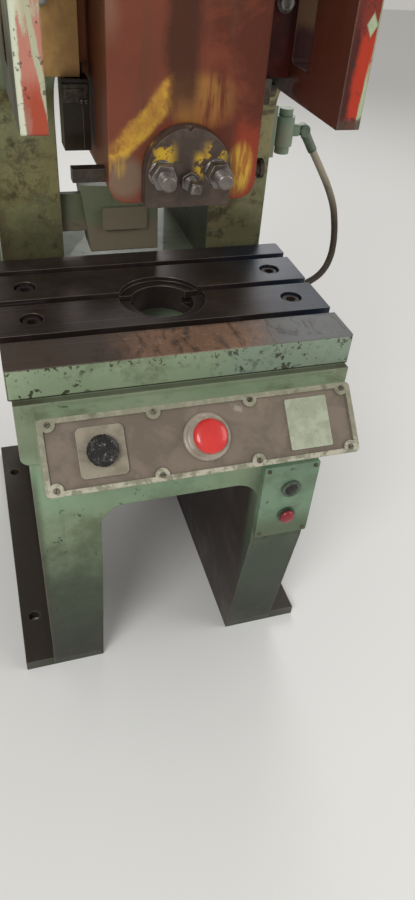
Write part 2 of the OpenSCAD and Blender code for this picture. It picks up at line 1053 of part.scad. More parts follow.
module hex_screw(d, length) {
    translate([0, 0, -6])
        cylinder(d = 1.8 * d, h = 6, $fn = 6);
    translate([0, 0, -1])
        cylinder(d = d, h = length + 1);
}

module at_guard_screws() {
    flange_back = column_rear + 2 * guard_sheet;
    for (angle = [0, 30, 90, 150, 180])
        facing_back(0, flange_back, up(crank_up))
            rotate([0, 0, angle])
                translate([flywheel_d / 2 + guard_screw_out, 0, 0])
                    rotate([180, 0, 0])
                        children();
    facing_back(0, flange_back, up(motor_up + pulley_d / 2 + guard_screw_out))
        rotate([180, 0, 0])
            children();
}

module at_plate_screws() {
    for (sx = [-1, 1], sz = [-1, 1])
        facing_back(sx * plate_screw_x, column_rear + guard_sheet, up(crank_up + sz * plate_screw_z))
            rotate([180, 0, 0])
                children();
}

module cover_screws() {
    color(bright_steel) {
        at_front_cover_screws()
            translate([0, 0, -10])
                hex_screw(cover_screw_d, 34);
        at_top_cover_screws()
            translate([0, 0, -8])
                hex_screw(cover_screw_d, 34);
        at_guard_screws()
            hex_screw(cover_screw_d, 2 * guard_sheet + 6);
        at_plate_screws()
            hex_screw(cover_screw_d, guard_sheet + 20);
        at_bracket_screws()
            translate([0, 0, -bracket_t])
                hex_screw(cover_screw_d, bracket_t + 22);
    }
}

module brake_band() {
    band_r = drum_d / 2 + 0.4;
    color(dark_steel)
        difference() {
            union() {
                facing_back(0, drum_back + 6, up(crank_up))
                    ring(band_r + 7, band_r, drum_w - 12);
                block(-24, 24, drum_back + 10, drum_back + drum_w - 10,
                    up(crank_up + drum_d / 2 + 1), up(crank_up + drum_d / 2 + 34));
                translate([0, back(drum_back + drum_w / 2), up(crank_up + drum_d / 2 + 30)])
                    cylinder(d = 16, h = head_top_up - top_deck_t - crank_up - drum_d / 2 - 30);
            }
            block(-6, 6, drum_back, drum_back + drum_w,
                up(crank_up + drum_d / 2 - 6), up(crank_up + drum_d / 2 + 24));
            facing_back(0, drum_back, up(crank_up))
                cylinder(r = band_r, h = drum_w);
        }
}

module valve_box() {
    color(mint)
        difference() {
            union() {
                deep(column_back + 4, column_back + 68)
                    polygon([[-104, up(120)], [40, up(113)], [42, up(-6)], [-88, up(-6)]]);
                block(-column_x, -80, column_back + 20, column_back + 32, up(30), up(100));
            }
            deep(column_back + 3, column_back + 58)
                translate([-24, up(59)])
                    rounded(70, 28, 4);
        }
}

module valve_box_cover() {
    color(mint)
        deep(column_back - 5, column_back + 4)
            translate([-24, up(59)])
                rounded(84, 42, 6);
}

module air_bracket() {
    color(teal)
        difference() {
            union() {
                block(column_out_x, column_out_x + bracket_t, column_back + 2, column_back + 46,
                    up(160), up(250));
                block(column_out_x + 6, column_out_x + 12, column_back + 10, column_back + 24,
                    up(184), up(226));
            }
            at_bracket_screws()
                cylinder(d = cover_screw_d + 1, h = 60, center = true);
        }
}

module at_bracket_screws() {
    for (h = [170, 240])
        facing_right(column_out_x, column_back + 37, up(h))
            rotate([180, 0, 0])
                children();
}

bracket_t = 8;
regulator_x = column_out_x + 12 + regulator_d / 2 + fit_gap;
elbow_x = regulator_x + regulator_d / 2 + 10 + 12;

module air_regulator() {
    color(teal) {
        translate([regulator_x, back(hose_back), up(178)])
            cylinder(d = regulator_d, h = 52);
        translate([regulator_x, back(hose_back), up(229)])
            cylinder(d = regulator_d - 10, h = 14);
        translate([regulator_x, back(hose_back), up(164)])
            cylinder(d = regulator_d - 8, h = 15);
        facing_right(regulator_x, hose_back, up(204))
            cylinder(d = 22, h = regulator_d / 2 + 10);
    }
}

hose_back = column_back + 17;
hose_path = [
    [349, 165], [362, 146], [376, 125], [391, 102], [404, 79], [416, 53], [424, 26], [430, -3], [433, -33],
    [431, -62], [421, -88], [402, -107], [377, -118], [350, -122], [322, -123], [296, -123]
];
hose_sides = 10;

module hose_fittings() {
    nose = [hose_path[0][0] - elbow_x, 0, hose_path[0][1] - 204];
    drop = hose_path[15];
    color(bright_steel) {
        facing_right(regulator_x + regulator_d / 2 + 10, hose_back, up(204))
            cylinder(d = 20, h = 12, $fn = 6);
        facing_back(elbow_x, hose_back - 11, up(204))
            cylinder(d = 22, h = 22);
        translate([elbow_x, back(hose_back), up(204)])
            rotate([0, atan2(nose[0], nose[2]), 0])
                cylinder(d = 18, h = norm(nose) - 0.5);
        facing_right(bed_w / 2, hose_back, up(drop[1]))
            cylinder(d = 20, h = drop[0] - bed_w / 2 - 0.5);
    }
}

// Ring of points about a point of the hose route
function hose_ring(i) =
    let (
        a = hose_path[max(i - 1, 0)],
        b = hose_path[min(i + 1, len(hose_path) - 1)],
        d = (b - a) / norm(b - a)
    )
    [for (k = [0 : hose_sides - 1])
        let (
            side = hose_d / 2 * cos(360 * k / hose_sides),
            depth = hose_d / 2 * sin(360 * k / hose_sides)
        )
        [hose_path[i][0] - d[1] * side, back(hose_back) + depth, up(hose_path[i][1]) + d[0] * side]];

module air_hose() {
    n = len(hose_path);
    points = [for (i = [0 : n - 1]) each hose_ring(i)];
    walls = [for (i = [0 : n - 2], k = [0 : hose_sides - 1])
        let (next = (k + 1) % hose_sides)
        [i * hose_sides + k, (i + 1) * hose_sides + k, (i + 1) * hose_sides + next, i * hose_sides + next]];
    first = [for (k = [0 : hose_sides - 1]) k];
    last = [for (k = [hose_sides - 1 : -1 : 0]) (n - 1) * hose_sides + k];
    color(motor_grey)
        polyhedron(points, concat([first], walls, [last]));
}

module motor_base() {
    foot_z = up(motor_up - motor_foot);
    color(mint)
        difference() {
            union() {
                block(-105, 105, motor_front_back + 10, motor_rear_back - 10, up(head_top_up), foot_z);
                block(-130, 130, motor_front_back + 10, motor_rear_back - 10,
                    up(head_top_up), up(head_top_up) + 12);
            }
            block(-88, 88, motor_front_back, motor_rear_back, up(head_top_up) - 1, foot_z - 14);
            for (sx = [-1, 1], b = [motor_front_back + 40, motor_rear_back - 40])
                translate([sx * 80, back(b), foot_z - 20])
                    cylinder(d = 11, h = 30);
        }
}

module motor_housing() {
    color(motor_grey)
        difference() {
            union() {
                facing_back(0, motor_front_back, up(motor_up)) {
                    cylinder(d = motor_d - 20, h = motor_l);
                    cylinder(d = motor_d - 6, h = 16);
                    translate([0, 0, motor_l - 16])
                        cylinder(d = motor_d - 6, h = 16);
                    for (i = [0 : 35])
                        rotate([0, 0, 10 * i + 5])
                            translate([motor_d / 2 - 12, -1.5, 14])
                                cube([12, 3, motor_l - 28]);
                }
                for (sx = [-1, 1])
                    difference() {
                        block(sx * 80 - 20, sx * 80 + 20, motor_front_back + 20, motor_rear_back - 20,
                            up(motor_up - motor_foot), up(motor_up - motor_foot) + 12);
                        for (b = [motor_front_back + 40, motor_rear_back - 40])
                            translate([sx * 80, back(b), up(motor_up - motor_foot) - 1])
                                cylinder(d = 11, h = 14);
                    }
                for (sx = [-1, 1])
                    block(sx * 62 - 8, sx * 62 + 8, motor_front_back + 30, motor_rear_back - 30,
                        up(motor_up - motor_foot) + 6, up(motor_up - motor_foot) + 50);
            }
            facing_back(0, motor_rear_back - 40, up(motor_up))
                cylinder(r = 14 + run_gap, h = 50);
        }
}

module motor_fan_cover() {
    color(motor_grey)
        difference() {
            facing_back(0, motor_front_back - 62, up(motor_up)) {
                difference() {
                    cylinder(d = motor_d - 2, h = 70);
                    translate([0, 0, 3])
                        cylinder(d = motor_d - 5.4, h = 70);
                }
            }
            for (ring_r = [28, 48, 68], i = [0 : 11])
                facing_back(0, motor_front_back - 63, up(motor_up))
                    rotate([0, 0, 30 * i])
                        translate([ring_r, 0, 0])
                            cylinder(d = 9, h = 6, $fn = 16);
        }
}

module terminal_box() {
    color(motor_grey)
        difference() {
            block(motor_d / 2 - 11, motor_d / 2 + 38, motor_front_back + 60, motor_front_back + 150,
                up(motor_up - 32), up(motor_up + 40));
            facing_back(0, motor_front_back + 50, up(motor_up))
                cylinder(d = motor_d + 0.4, h = 110);
        }
}

module belts() {
    low_out = flywheel_d / 2 - 1;
    high_out = pulley_d / 2 - 1;
    thick = groove_depth - 1 - belt_seat;
    color(black)
        for (i = [0 : belt_count - 1])
            deep(groove_first + i * belt_pitch - belt_w / 2, groove_first + i * belt_pitch + belt_w / 2)
                translate([0, up(crank_up)])
                    difference() {
                        belt_outline(low_out, high_out, motor_rise);
                        belt_outline(low_out - thick, high_out - thick, motor_rise);
                    }
}

module guard_outline(grow) {
    translate([0, up(crank_up)])
        belt_outline(flywheel_d / 2 + guard_gap + grow, pulley_d / 2 + guard_gap + grow, motor_rise);
}

module guard_plate() {
    color(mint)
        difference() {
            deep(column_rear, column_rear + guard_sheet)
                difference() {
                    guard_outline(guard_flange);
                    translate([0, up(crank_up)])
                        circle(r = rear_journal_d / 2 + 3);
                    translate([0, up(motor_up)])
                        circle(r = 30);
                }
            at_guard_screws()
                cylinder(d = cover_screw_d + 1, h = 60, center = true);
            at_plate_screws()
                cylinder(d = cover_screw_d + 1, h = 60, center = true);
        }
}

module belt_guard() {
    b0 = column_rear + guard_sheet;
    color(mint)
        difference() {
            union() {
                deep(b0, b0 + guard_depth)
                    guard_outline(guard_sheet);
                deep(b0, b0 + guard_sheet)
                    guard_outline(guard_flange);
            }
            deep(b0 - 1, b0 + guard_depth - guard_sheet)
                guard_outline(0);
            for (i = [0 : 11])
                facing_back(0, b0 + guard_depth - guard_sheet - 1, up(crank_up))
                    rotate([0, 0, 30 * i])
                        translate([150, 0, 0])
                            linear_extrude(guard_sheet + 2)
                                rounded(110, 16, 7.9);
            at_guard_screws()
                cylinder(d = cover_screw_d + 1, h = 60, center = true);
        }
}

module tombstone(grow) {
    translate([-cap_w / 2 - grow, up(cap_up - 1)])
        square([cap_w + 2 * grow, cap_arch_up - cap_up + 1]);
    translate([0, up(cap_arch_up)])
        circle(r = cap_w / 2 + grow);
}

module at_studs() {
    for (sx = [-1, 1])
        facing_back(sx * stud_x, 0, up(stud_up))
            children();
}

module ram() {
    h = ram_h;
    color(brick)
        difference() {
            union() {
                deep(ram_front_back, ram_rear_back) {
                    translate([0, up(daylight + h / 2)])
                        rounded(ram_w, h, ram_corner_r);
                    translate([-ram_w / 2, up(daylight + h / 2)])
                        square([ram_w, h / 2]);
                }
                block(-wing_w / 2, wing_w / 2, wing_back, wing_back + wing_t,
                    up(wing_up), up(ram_top_up - 5));
            }
            deep(ram_front_back - 1, ram_back)
                tombstone(fit_gap);
            translate([0, ram_y, up(daylight) - 1])
                cylinder(d = shank_d, h = shank_depth + 1);
            at_studs()
                translate([0, 0, ram_back - 1])
                    cylinder(d = stud_d + 2 * close_gap, h = 70);
            translate([0, ram_y, up(ball_up - ball_d / 2 - 17)])
                linear_extrude(ball_d + 27)
                    oval(ball_d / 2 + 2, crank_r);
            translate([0, ram_y, up(ball_up + ball_d / 2 + 10)])
                linear_extrude(200)
                    oval(42, crank_r);
            for (sx = [-1, 1])
                facing_right(sx < 0 ? -ram_w / 2 - 1 : ram_w / 2 - 25, lug_back, up(lug_up))
                    cylinder(d = lug_d + 2 * close_gap, h = 26);
        }
}

lug_back = ram_front_back + 33;
lug_up = daylight + 31;

module clamp_cap() {
    color(dark_steel)
        difference() {
            deep(ram_front_back - cap_ahead, ram_back - 0.5)
                intersection() {
                    tombstone(0);
                    translate([-cap_w, up(cap_up)])
                        square([2 * cap_w, 200]);
                }
            translate([0, ram_y, up(daylight) - 1])
                cylinder(d = shank_d, h = shank_depth + 1);
            at_studs()
                cylinder(d = stud_d + 1, h = 300);
            facing_back(0, 0, up(set_screw_up))
                cylinder(d = set_screw_d + 2 * close_gap, h = 200);
            translate([0, back(ram_front_back - cap_ahead), up(cap_arch_up + cap_w / 2)])
                rotate([0, 45, 0])
                    cube([7, 24, 7], center = true);
        }
}

module clamp_studs() {
    color(bright_steel)
        at_studs()
            translate([0, 0, ram_front_back - cap_ahead - nut_h - stud_end])
                cylinder(d = stud_d, h = nut_h + stud_end + cap_ahead + ram_ahead + 60);
}

module clamp_nuts() {
    color(bright_steel)
        at_studs()
            translate([0, 0, ram_front_back - cap_ahead - nut_h]) {
                difference() {
                    union() {
                        cylinder(d = nut_af / cos(30), h = nut_h - 3, $fn = 6);
                        translate([0, 0, nut_h - 3])
                            cylinder(d = nut_af + 8, h = 3);
                    }
                    translate([0, 0, -1])
                        cylinder(d = stud_d + 2 * close_gap, h = nut_h + 2);
                }
            }
}

module set_screw() {
    face = ram_front_back - cap_ahead;
    color(bright_steel)
        facing_back(0, face - 34, up(set_screw_up)) {
            translate([-7, -7, 0])
                cube([14, 14, 12]);
            translate([0, 0, 11])
                cylinder(d = set_screw_d, h = ram_back - shank_d / 2 - face + 34 - 11 - 2);
            translate([0, 0, 22])
                cylinder(d = 24 / cos(30), h = 12, $fn = 6);
        }
}

module ram_lugs() {
    color(dark_steel) {
        translate([-ram_w / 2 - 46, back(lug_back) - 9, up(lug_up) - 9])
            cube([46, 18, 18]);
        facing_right(-ram_w / 2 - 1, lug_back, up(lug_up))
            cylinder(d = lug_d, h = 24);
        facing_right(ram_w / 2 - 22, lug_back, up(lug_up))
            cylinder(d = lug_d, h = 24);
        facing_right(ram_w / 2, lug_back, up(lug_up))
            cylinder(d = lug_d + 6, h = 16);
        facing_right(ram_w / 2 + 16, lug_back, up(lug_up))
            cylinder(d = lug_d + 12, h = 6);
    }
}

module ball_pad() {
    color(bronze)
        translate([0, ram_y, up(ball_up - ball_d / 2 - 17)])
            linear_extrude(12)
                oval(ball_d / 2 + 1.7, crank_r);
}

module ball_retainer() {
    color(dark_steel)
        translate([0, ram_y, up(ball_up + ball_d / 2 + 10)])
            linear_extrude(35)
                difference() {
                    oval(42 - fit_gap, crank_r);
                    oval(screw_d / 2 + 3, crank_r);
                }
}

module crankshaft() {
    pin_front = ram_back - pitman_t / 2 - 6;
    seat_end = clutch_disc_back + clutch_disc_t + 6;
    color(bright_steel) {
        facing_back(0, pin_front, up(pin_up))
            cylinder(d = pin_d, h = front_journal_back - pin_front + 1);
        facing_back(0, front_journal_back, up(crank_up)) {
            cylinder(d = front_journal_d, h = front_wall_back + front_wall_t - front_journal_back + 2);
            cylinder(d = rear_journal_d, h = column_rear + 8 - front_journal_back);
            cylinder(d = seat_d, h = seat_end - front_journal_back);
        }
    }
}

module brake_drum() {
    hub_r = rear_journal_d / 2 + close_gap;
    color(dark_steel)
        facing_back(0, drum_back, up(crank_up)) {
            ring(drum_d / 2, drum_d / 2 - 14, drum_w);
            translate([0, 0, drum_w / 2 - 7])
                ring(drum_d / 2 - 12, hub_r, 14);
            ring(hub_r + 18, hub_r, drum_w);
        }
}

module clutch_disc() {
    color(bronze)
        facing_back(0, clutch_disc_back, up(crank_up))
            ring(186, seat_d / 2 + close_gap, clutch_disc_t);
}

module shaft_caps() {
    color(dark_steel) {
        facing_back(0, ram_back - pitman_t / 2 - 14, up(pin_up))
            cylinder(d = pin_d + 18, h = 8);
        facing_back(0, clutch_disc_back + clutch_disc_t + 6, up(crank_up))
            cylinder(d = seat_d + 14, h = 8);
    }
}

module pitman() {
    eye_r = 72;
    foot_up = ram_top_up + 23;
    boss_w = 74;
    color(dark_steel)
        difference() {
            deep(ram_back - pitman_t / 2, ram_back + pitman_t / 2)
                difference() {
                    union() {
                        translate([0, up(pin_up)])
                            circle(eye_r);
                        polygon([
                            [-boss_w / 2, up(foot_up)],
                            [boss_w / 2, up(foot_up)],
                            [boss_w / 2 + 18, up(pin_up - 30)],
                            [-boss_w / 2 - 18, up(pin_up - 30)]
                        ]);
                    }
                    translate([0, up(pin_up)])
                        circle(r = pin_d / 2 + pitman_bush_wall + close_gap);
                }
            translate([0, ram_y, up(foot_up - 1)])
                cylinder(d = screw_d + 2 * close_gap, h = 60);
        }
}

module pitman_bush() {
    color(bronze)
        facing_back(0, ram_back - pitman_t / 2, up(pin_up))
            ring(pin_d / 2 + pitman_bush_wall, pin_d / 2 + run_gap, pitman_t);
}

module pitman_screw() {
    color(bright_steel)
        translate([0, ram_y, up(ball_up)]) {
            sphere(d = ball_d);
            cylinder(d = screw_d - 8, h = 50);
            translate([0, 0, 45])
                cylinder(d = screw_d, h = ram_top_up + 78 - ball_up - 45);
            translate([0, 0, 95])
                cylinder(d = 56, h = 16, $fn = 6);
        }
}

module lock_nut() {
    color(dark_steel)
        translate([0, ram_y, up(ram_top_up + 7)])
            difference() {
                cylinder(d = 62, h = 16, $fn = 6);
                translate([0, 0, -1])
                    cylinder(d = screw_d + 2 * close_gap, h = 20);
            }
}

// Section of a belt groove that opens outwards at X = 0
module groove() {
    polygon([[1, -7.5], [1, 7.5], [-groove_depth, 5.5], [-groove_depth, -5.5]]);
}

// Half section of the flywheel, from its front face backwards
module flywheel() {
    rim_r = flywheel_d / 2;
    rim_in = rim_r - 45;
    hub_out = flywheel_bore_r + 20;
    color(dark_steel)
        difference() {
            facing_back(0, flywheel_back, up(crank_up)) {
                difference() {
                    rotate_extrude($fn = 128)
                        difference() {
                            union() {
                                translate([rim_in, 0])
                                    square([rim_r - rim_in, flywheel_w]);
                                translate([hub_out - 1, 30])
                                    square([rim_in - hub_out + 2, 20]);
                                translate([rim_in - 50, 49])
                                    square([51, 30]);
                                translate([flywheel_bore_r, 2])
                                    square([hub_out - flywheel_bore_r, 76]);
                            }
                            for (i = [0 : belt_count - 1])
                                translate([rim_r, groove_first - flywheel_back + i * belt_pitch])
                                    groove();
                        }
                    for (i = [0 : 5])
                        rotate([0, 0, 60 * i])
                            translate([(hub_out + rim_in - 50) / 2 - 3, 0, 20])
                                cylinder(d = 36, h = 40);
                }
            }
        }
}

module flywheel_bearings() {
    color(bright_steel)
        for (b = [6, 48])
            facing_back(0, flywheel_back + b, up(crank_up)) {
                ring(flywheel_bore_r - close_gap, seat_d / 2 + run_gap, 26);
            }
}

module clutch_cover() {
    cover_back = flywheel_back + flywheel_w;
    color(dark_steel)
        facing_back(0, cover_back, up(crank_up)) {
            rotate_extrude($fn = 128)
                polygon([
                    [130, -4],
                    [185, -4],
                    [185, 0],
                    [225, 0],
                    [225, 10],
                    [180, 10],
                    [165, 22],
                    [100, 26],
                    [70, 26],
                    [70, 18],
                    [130, 14]
                ]);
            for (i = [0 : 11])
                rotate([0, 0, 30 * i])
                    translate([212, 0, 9])
                        cylinder(d = 15, h = 8, $fn = 6);
        }
}

module motor_shaft() {
    color(bright_steel)
        facing_back(0, motor_rear_back - 38, up(motor_up))
            cylinder(r = 14, h = pulley_back + pulley_w - motor_rear_back + 38 + 4);
}

module motor_pulley() {
    r = pulley_d / 2;
    color(dark_steel)
        facing_back(0, pulley_back, up(motor_up))
            rotate_extrude($fn = 96)
                difference() {
                    translate([14 + close_gap, 0])
                        square([r - 14 - close_gap, pulley_w]);
                    for (i = [0 : belt_count - 1])
                        translate([r, 13 + i * belt_pitch])
                            groove();
                }
}

frame();
table();
table_screws();
console_box();
console_cover();
panel_screws();
e_stop_ring();
e_stop_button();
palm_plate();
palm_button();
blank_plate();
contact_blocks();
station_box();
station_rings();
start_button();
stop_button();
left_gib();
right_gib();
gib_screws();
drip_box();
gib_bracket();
main_bushes();
front_cover();
top_cover();
cover_screws();
brake_band();
valve_box();
valve_box_cover();
air_bracket();
air_regulator();
hose_fittings();
air_hose();
motor_base();
motor_housing();
motor_fan_cover();
terminal_box();
belts();
guard_plate();
belt_guard();
ram();
clamp_cap();
clamp_studs();
clamp_nuts();
set_screw();
ram_lugs();
ball_pad();
ball_retainer();
crankshaft();
brake_drum();
clutch_disc();
shaft_caps();
pitman();
pitman_bush();
pitman_screw();
lock_nut();
flywheel();
flywheel_bearings();
clutch_cover();
motor_shaft();
motor_pulley();
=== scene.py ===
# %% [markdown]
# # Dressing an open-back stamping press
# The solids of the press come in as a fixed frame: every casting, shaft and screw already
# sits where it belongs. This lesson gives them their looks. It sets up the camera, a plain
# floor and soft light, writes a handful of finishes in shader nodes, and turns the small
# parts that the eye rests on, such as buttons, nuts and the hose, in mesh code.

# %% Load the press
import math

import bmesh
import bpy
from mathutils import Matrix, Vector, noise


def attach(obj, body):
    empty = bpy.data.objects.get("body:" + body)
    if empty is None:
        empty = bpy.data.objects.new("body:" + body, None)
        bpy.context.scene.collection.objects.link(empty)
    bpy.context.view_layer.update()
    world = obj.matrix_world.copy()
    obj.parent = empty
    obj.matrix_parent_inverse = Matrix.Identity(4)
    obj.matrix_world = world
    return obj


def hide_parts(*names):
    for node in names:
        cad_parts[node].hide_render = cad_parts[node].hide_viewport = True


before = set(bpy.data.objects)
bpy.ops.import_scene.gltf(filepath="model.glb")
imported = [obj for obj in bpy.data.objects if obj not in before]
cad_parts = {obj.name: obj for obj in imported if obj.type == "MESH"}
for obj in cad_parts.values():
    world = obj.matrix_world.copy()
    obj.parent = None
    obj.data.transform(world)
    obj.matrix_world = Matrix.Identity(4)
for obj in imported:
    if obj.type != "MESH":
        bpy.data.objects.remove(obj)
scene = bpy.context.scene
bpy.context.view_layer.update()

# %% [markdown]
# A press is laid out from its table. Every size on it is easier to think of as so many
# millimetres behind the front edge of the table, and so many above its top, so two small
# functions turn those two readings into the metres of the scene.

# %% Read sizes from the table
TABLE_TOP = 0.842
TABLE_FRONT = -0.442


def back(mm):
    return TABLE_FRONT + mm / 1000


def up(mm):
    return TABLE_TOP + mm / 1000


def spot(x, behind, above):
    return Vector((x / 1000, back(behind), up(above)))


print("ram axis at", spot(0, 180, 205))

# %% [markdown]
# The photograph was taken from the left of the press and above it, with the phone turned a
# few degrees. The camera stands at the same point. Its directions are worked out from a
# heading, a dip and a roll, which is easier to check than three Euler angles.

# %% Stand the camera where the photographer stood
HEADING, DIP, ROLL = (math.radians(angle) for angle in (20.19, 40.34, 5.13))
EYE = (-0.27513, -1.30315, 1.41589)
FOCAL_MM, SENSOR_MM = 27.54, 36

north = Vector((math.sin(HEADING), math.cos(HEADING), 0))
ahead = north * math.cos(DIP) - Vector((0, 0, math.sin(DIP)))
level = Vector((math.cos(HEADING), -math.sin(HEADING), 0))
above = level.cross(ahead)
right = level * math.cos(ROLL) + above * math.sin(ROLL)
top = above * math.cos(ROLL) - level * math.sin(ROLL)

lens = bpy.data.cameras.new("camera")
lens.sensor_width = SENSOR_MM
lens.lens = FOCAL_MM
camera = bpy.data.objects.new("camera", lens)
scene.collection.objects.link(camera)
turn = Matrix((right, top, -ahead)).transposed().to_4x4()
camera.matrix_world = Matrix.Translation(EYE) @ turn
scene.camera = camera
print("camera at", camera.matrix_world.translation, "looking along", ahead)

# %% [markdown]
# A workshop photograph is dim and patchy, but a model is judged best in plain light. One big
# soft lamp stands in for the windows at the front left, weaker ones fill from the right and
# the back, and the world is a pale grey, so that steel has something to mirror. The floor is
# a plain pale sheet that only catches the shadow.

# %% Light the press softly
def soft_lamp(name, place, aim, size, watts):
    light = bpy.data.lights.new(name, "AREA")
    light.shape = "DISK"
    light.size = size
    light.energy = watts
    lamp = bpy.data.objects.new(name, light)
    lamp.location = place
    lamp.rotation_euler = (Vector(aim) - Vector(place)).to_track_quat("-Z", "Y").to_euler()
    scene.collection.objects.link(lamp)


soft_lamp("window_lamp", (-2.4, -3.3, 3.6), (0, -0.2, 0.8), 2.2, 125)
soft_lamp("fill_lamp", (3.2, -1.8, 2.6), (0, -0.1, 0.8), 2.6, 45)
soft_lamp("back_lamp", (1.2, 3.4, 3.2), (0, 0.1, 1.0), 2.4, 55)

world = bpy.data.worlds.new("room")
scene.world = world
world.use_nodes = True
sky = world.node_tree.nodes["Background"]
sky.inputs["Color"].default_value = (1.0, 0.97, 0.93, 1)
sky.inputs["Strength"].default_value = 0.5
scene.view_settings.view_transform = "Standard"

# %% Lay the floor
FLOOR_HALF = 9

sheet = bmesh.new()
bmesh.ops.create_grid(sheet, x_segments=1, y_segments=1, size=FLOOR_HALF)
floor_mesh = bpy.data.meshes.new("floor")
sheet.to_mesh(floor_mesh)
sheet.free()
floor = bpy.data.objects.new("floor", floor_mesh)
scene.collection.objects.link(floor)
print("floor is", floor.dimensions.x, "m wide")

# %% [markdown]
# ## Writing finishes
# Old machine paint is many layers: colour that has faded unevenly, chips, rust, oil and
# hand dirt. Each layer is a mask between 0 and 1 that mixes one colour over the last.
# A mask is easiest to read as a formula, so a small class wraps a node's output and gives
# it the usual signs. Every sign adds one Math node to the material. `rise` and `fall` are
# steps that are soft at their edge, and `inside` is one of each.

# %% A socket that can be added and multiplied
class Signal:
    def __init__(self, finish, socket):
        self.finish = finish
        self.socket = socket

    def _math(self, operation, first, second=0.0):
        return self.finish.node("Math", {"operation": operation}, {0: first, 1: second})

    def __add__(self, other):
        return self._math("ADD", self, other)

    def __sub__(self, other):
        return self._math("SUBTRACT", self, other)

    def __rsub__(self, other):
        return self._math("SUBTRACT", other, self)

    def __mul__(self, other):
        return self._math("MULTIPLY", self, other)

    def over(self, other):
        return self._math("MAXIMUM", self, other)

    def size(self):
        return self._math("ABSOLUTE", self)

    def rise(self, low, high):
        return self.finish.node("MapRange", {"interpolation_type": "SMOOTHSTEP"}, {
            "Value": self, "From Min": low, "From Max": high})

    def fall(self, low, high):
        return 1 - self.rise(low, high)

    def inside(self, low, high, soft):
        return self.rise(low - soft, low + soft) * self.fall(high - soft, high + soft)

    __radd__ = __add__
    __rmul__ = __mul__


# %% [markdown]
# A finish owns one material. Its method `node` adds any node from its type, its settings
# and what it is fed with, and hands back an output. The other methods are the few
# patterns that every finish of this press is made of: a cloud of noise, a colour mixed over
# another by a mask, and a stack of such coats, which are laid in the order they are given.
# Colours are written as a paint chart has them, in three numbers up to 255.

# %% A finish made of layers
def linear(colour):
    if isinstance(colour, Signal):
        return colour
    shares = [c / 255 for c in colour]
    return [c / 12.92 if c < 0.04045 else ((c + 0.055) / 1.055) ** 2.4 for c in shares] + [1.0]


class Finish:
    def __init__(self, name, metallic=0.0, coat=0.0):
        self.material = bpy.data.materials.new(name)
        self.material.use_nodes = True
        self.nodes = self.material.node_tree.nodes
        self.links = self.material.node_tree.links
        self.shader = self.nodes["Principled BSDF"]
        self.feed(self.shader, {"Metallic": metallic, "Coat Weight": coat, "Specular IOR Level": 0.3})
        self.place = self.node("TexCoord", output="Object")
        self.axes = self.split(self.place)

    def feed(self, node, inputs):
        for name, value in inputs.items():
            if isinstance(value, Signal):
                self.links.new(value.socket, node.inputs[name])
            else:
                node.inputs[name].default_value = value

    def node(self, kind, settings=None, inputs=None, output=0):
        prefix = "ShaderNode" if hasattr(bpy.types, "ShaderNode" + kind) else "ShaderNodeTex"
        made = self.nodes.new(prefix + kind)
        for name, value in (settings or {}).items():
            setattr(made, name, value)
        self.feed(made, inputs or {})
        return made if output is None else Signal(self, made.outputs[output])

    def split(self, vector):
        parts = self.node("SeparateXYZ", inputs={"Vector": vector}, output=None)
        return [Signal(self, parts.outputs[axis]) for axis in "XYZ"]

    def stretched(self, x, y, z):
        return self.node("Mapping", inputs={"Vector": self.place, "Scale": (x, y, z)})

    def cloud(self, scale, detail=4.0, roughness=0.6, vector=None, warp=0.0):
        return self.node("Noise", inputs={
            "Vector": vector or self.place, "Scale": scale, "Detail": detail,
            "Roughness": roughness, "Distortion": warp})

    def mix(self, under, over, mask):
        return self.node("Mix", {"data_type": "RGBA"}, {0: mask, 6: linear(under), 7: linear(over)}, output=2)

    def coats(self, colour, *layers):
        for over, mask in layers:
            colour = self.mix(colour, over, mask)
        return colour

    def paint(self, colour, roughness, **others):
        self.feed(self.shader, {"Base Color": linear(colour), "Roughness": roughness, **others})

    def rounded(self, radius):
        return self.node("Bevel", {"samples": 4}, {"Radius": radius})

    def relief(self, height, depth, edge=0.0):
        inputs = {"Height": height, "Distance": depth}
        if edge:
            inputs["Normal"] = self.rounded(edge)
        self.feed(self.shader, {"Normal": self.node("Bump", inputs=inputs)})

    def facing(self):
        return self.node("NewGeometry", output="Normal")

    def worn_edges(self, radius):
        return 1 - self.node("VectorMath", {"operation": "DOT_PRODUCT"},
                             {0: self.rounded(radius), 1: self.facing()}, output="Value")

    # Occlusion mask: the colour that it lays down in corners and hollows is painted shade.
    def corners(self, reach):
        return 1 - self.node("AmbientOcclusion", {"samples": 4, "only_local": True},
                             {"Distance": reach}, output="AO")


print("a finish starts with", len(Finish("spare").nodes), "nodes")
bpy.data.materials.remove(bpy.data.materials["spare"])

# %% [markdown]
# The floor is the plainest finish: pale, matt and even.

# %% The floor's finish
floor_finish = Finish("floor_sheet")
floor_finish.paint((222, 222, 220), roughness=0.85)
floor_mesh.materials.append(floor_finish.material)
print("floor finished")

# %% [markdown]
# ## The paint of the castings
# Sage green machine enamel, brushed over filler, covers nearly every casting. It is palest
# where hands polish it, yellow and brown where oil has soaked in, brown in its corners from
# grime and painted shade, and dotted with black where the filler has popped off. One function
# paints it, so that covers and castings match, and each part asks for its own tone, and its own
# amount of dirt and painted shade.

# %% Sage enamel
SAGE = (128, 146, 117)
SAGE_PALE = (152, 164, 138)
SAGE_DULL = (98, 108, 82)
OIL_BROWN = (62, 52, 38)
CHIP_BLACK = (38, 32, 26)


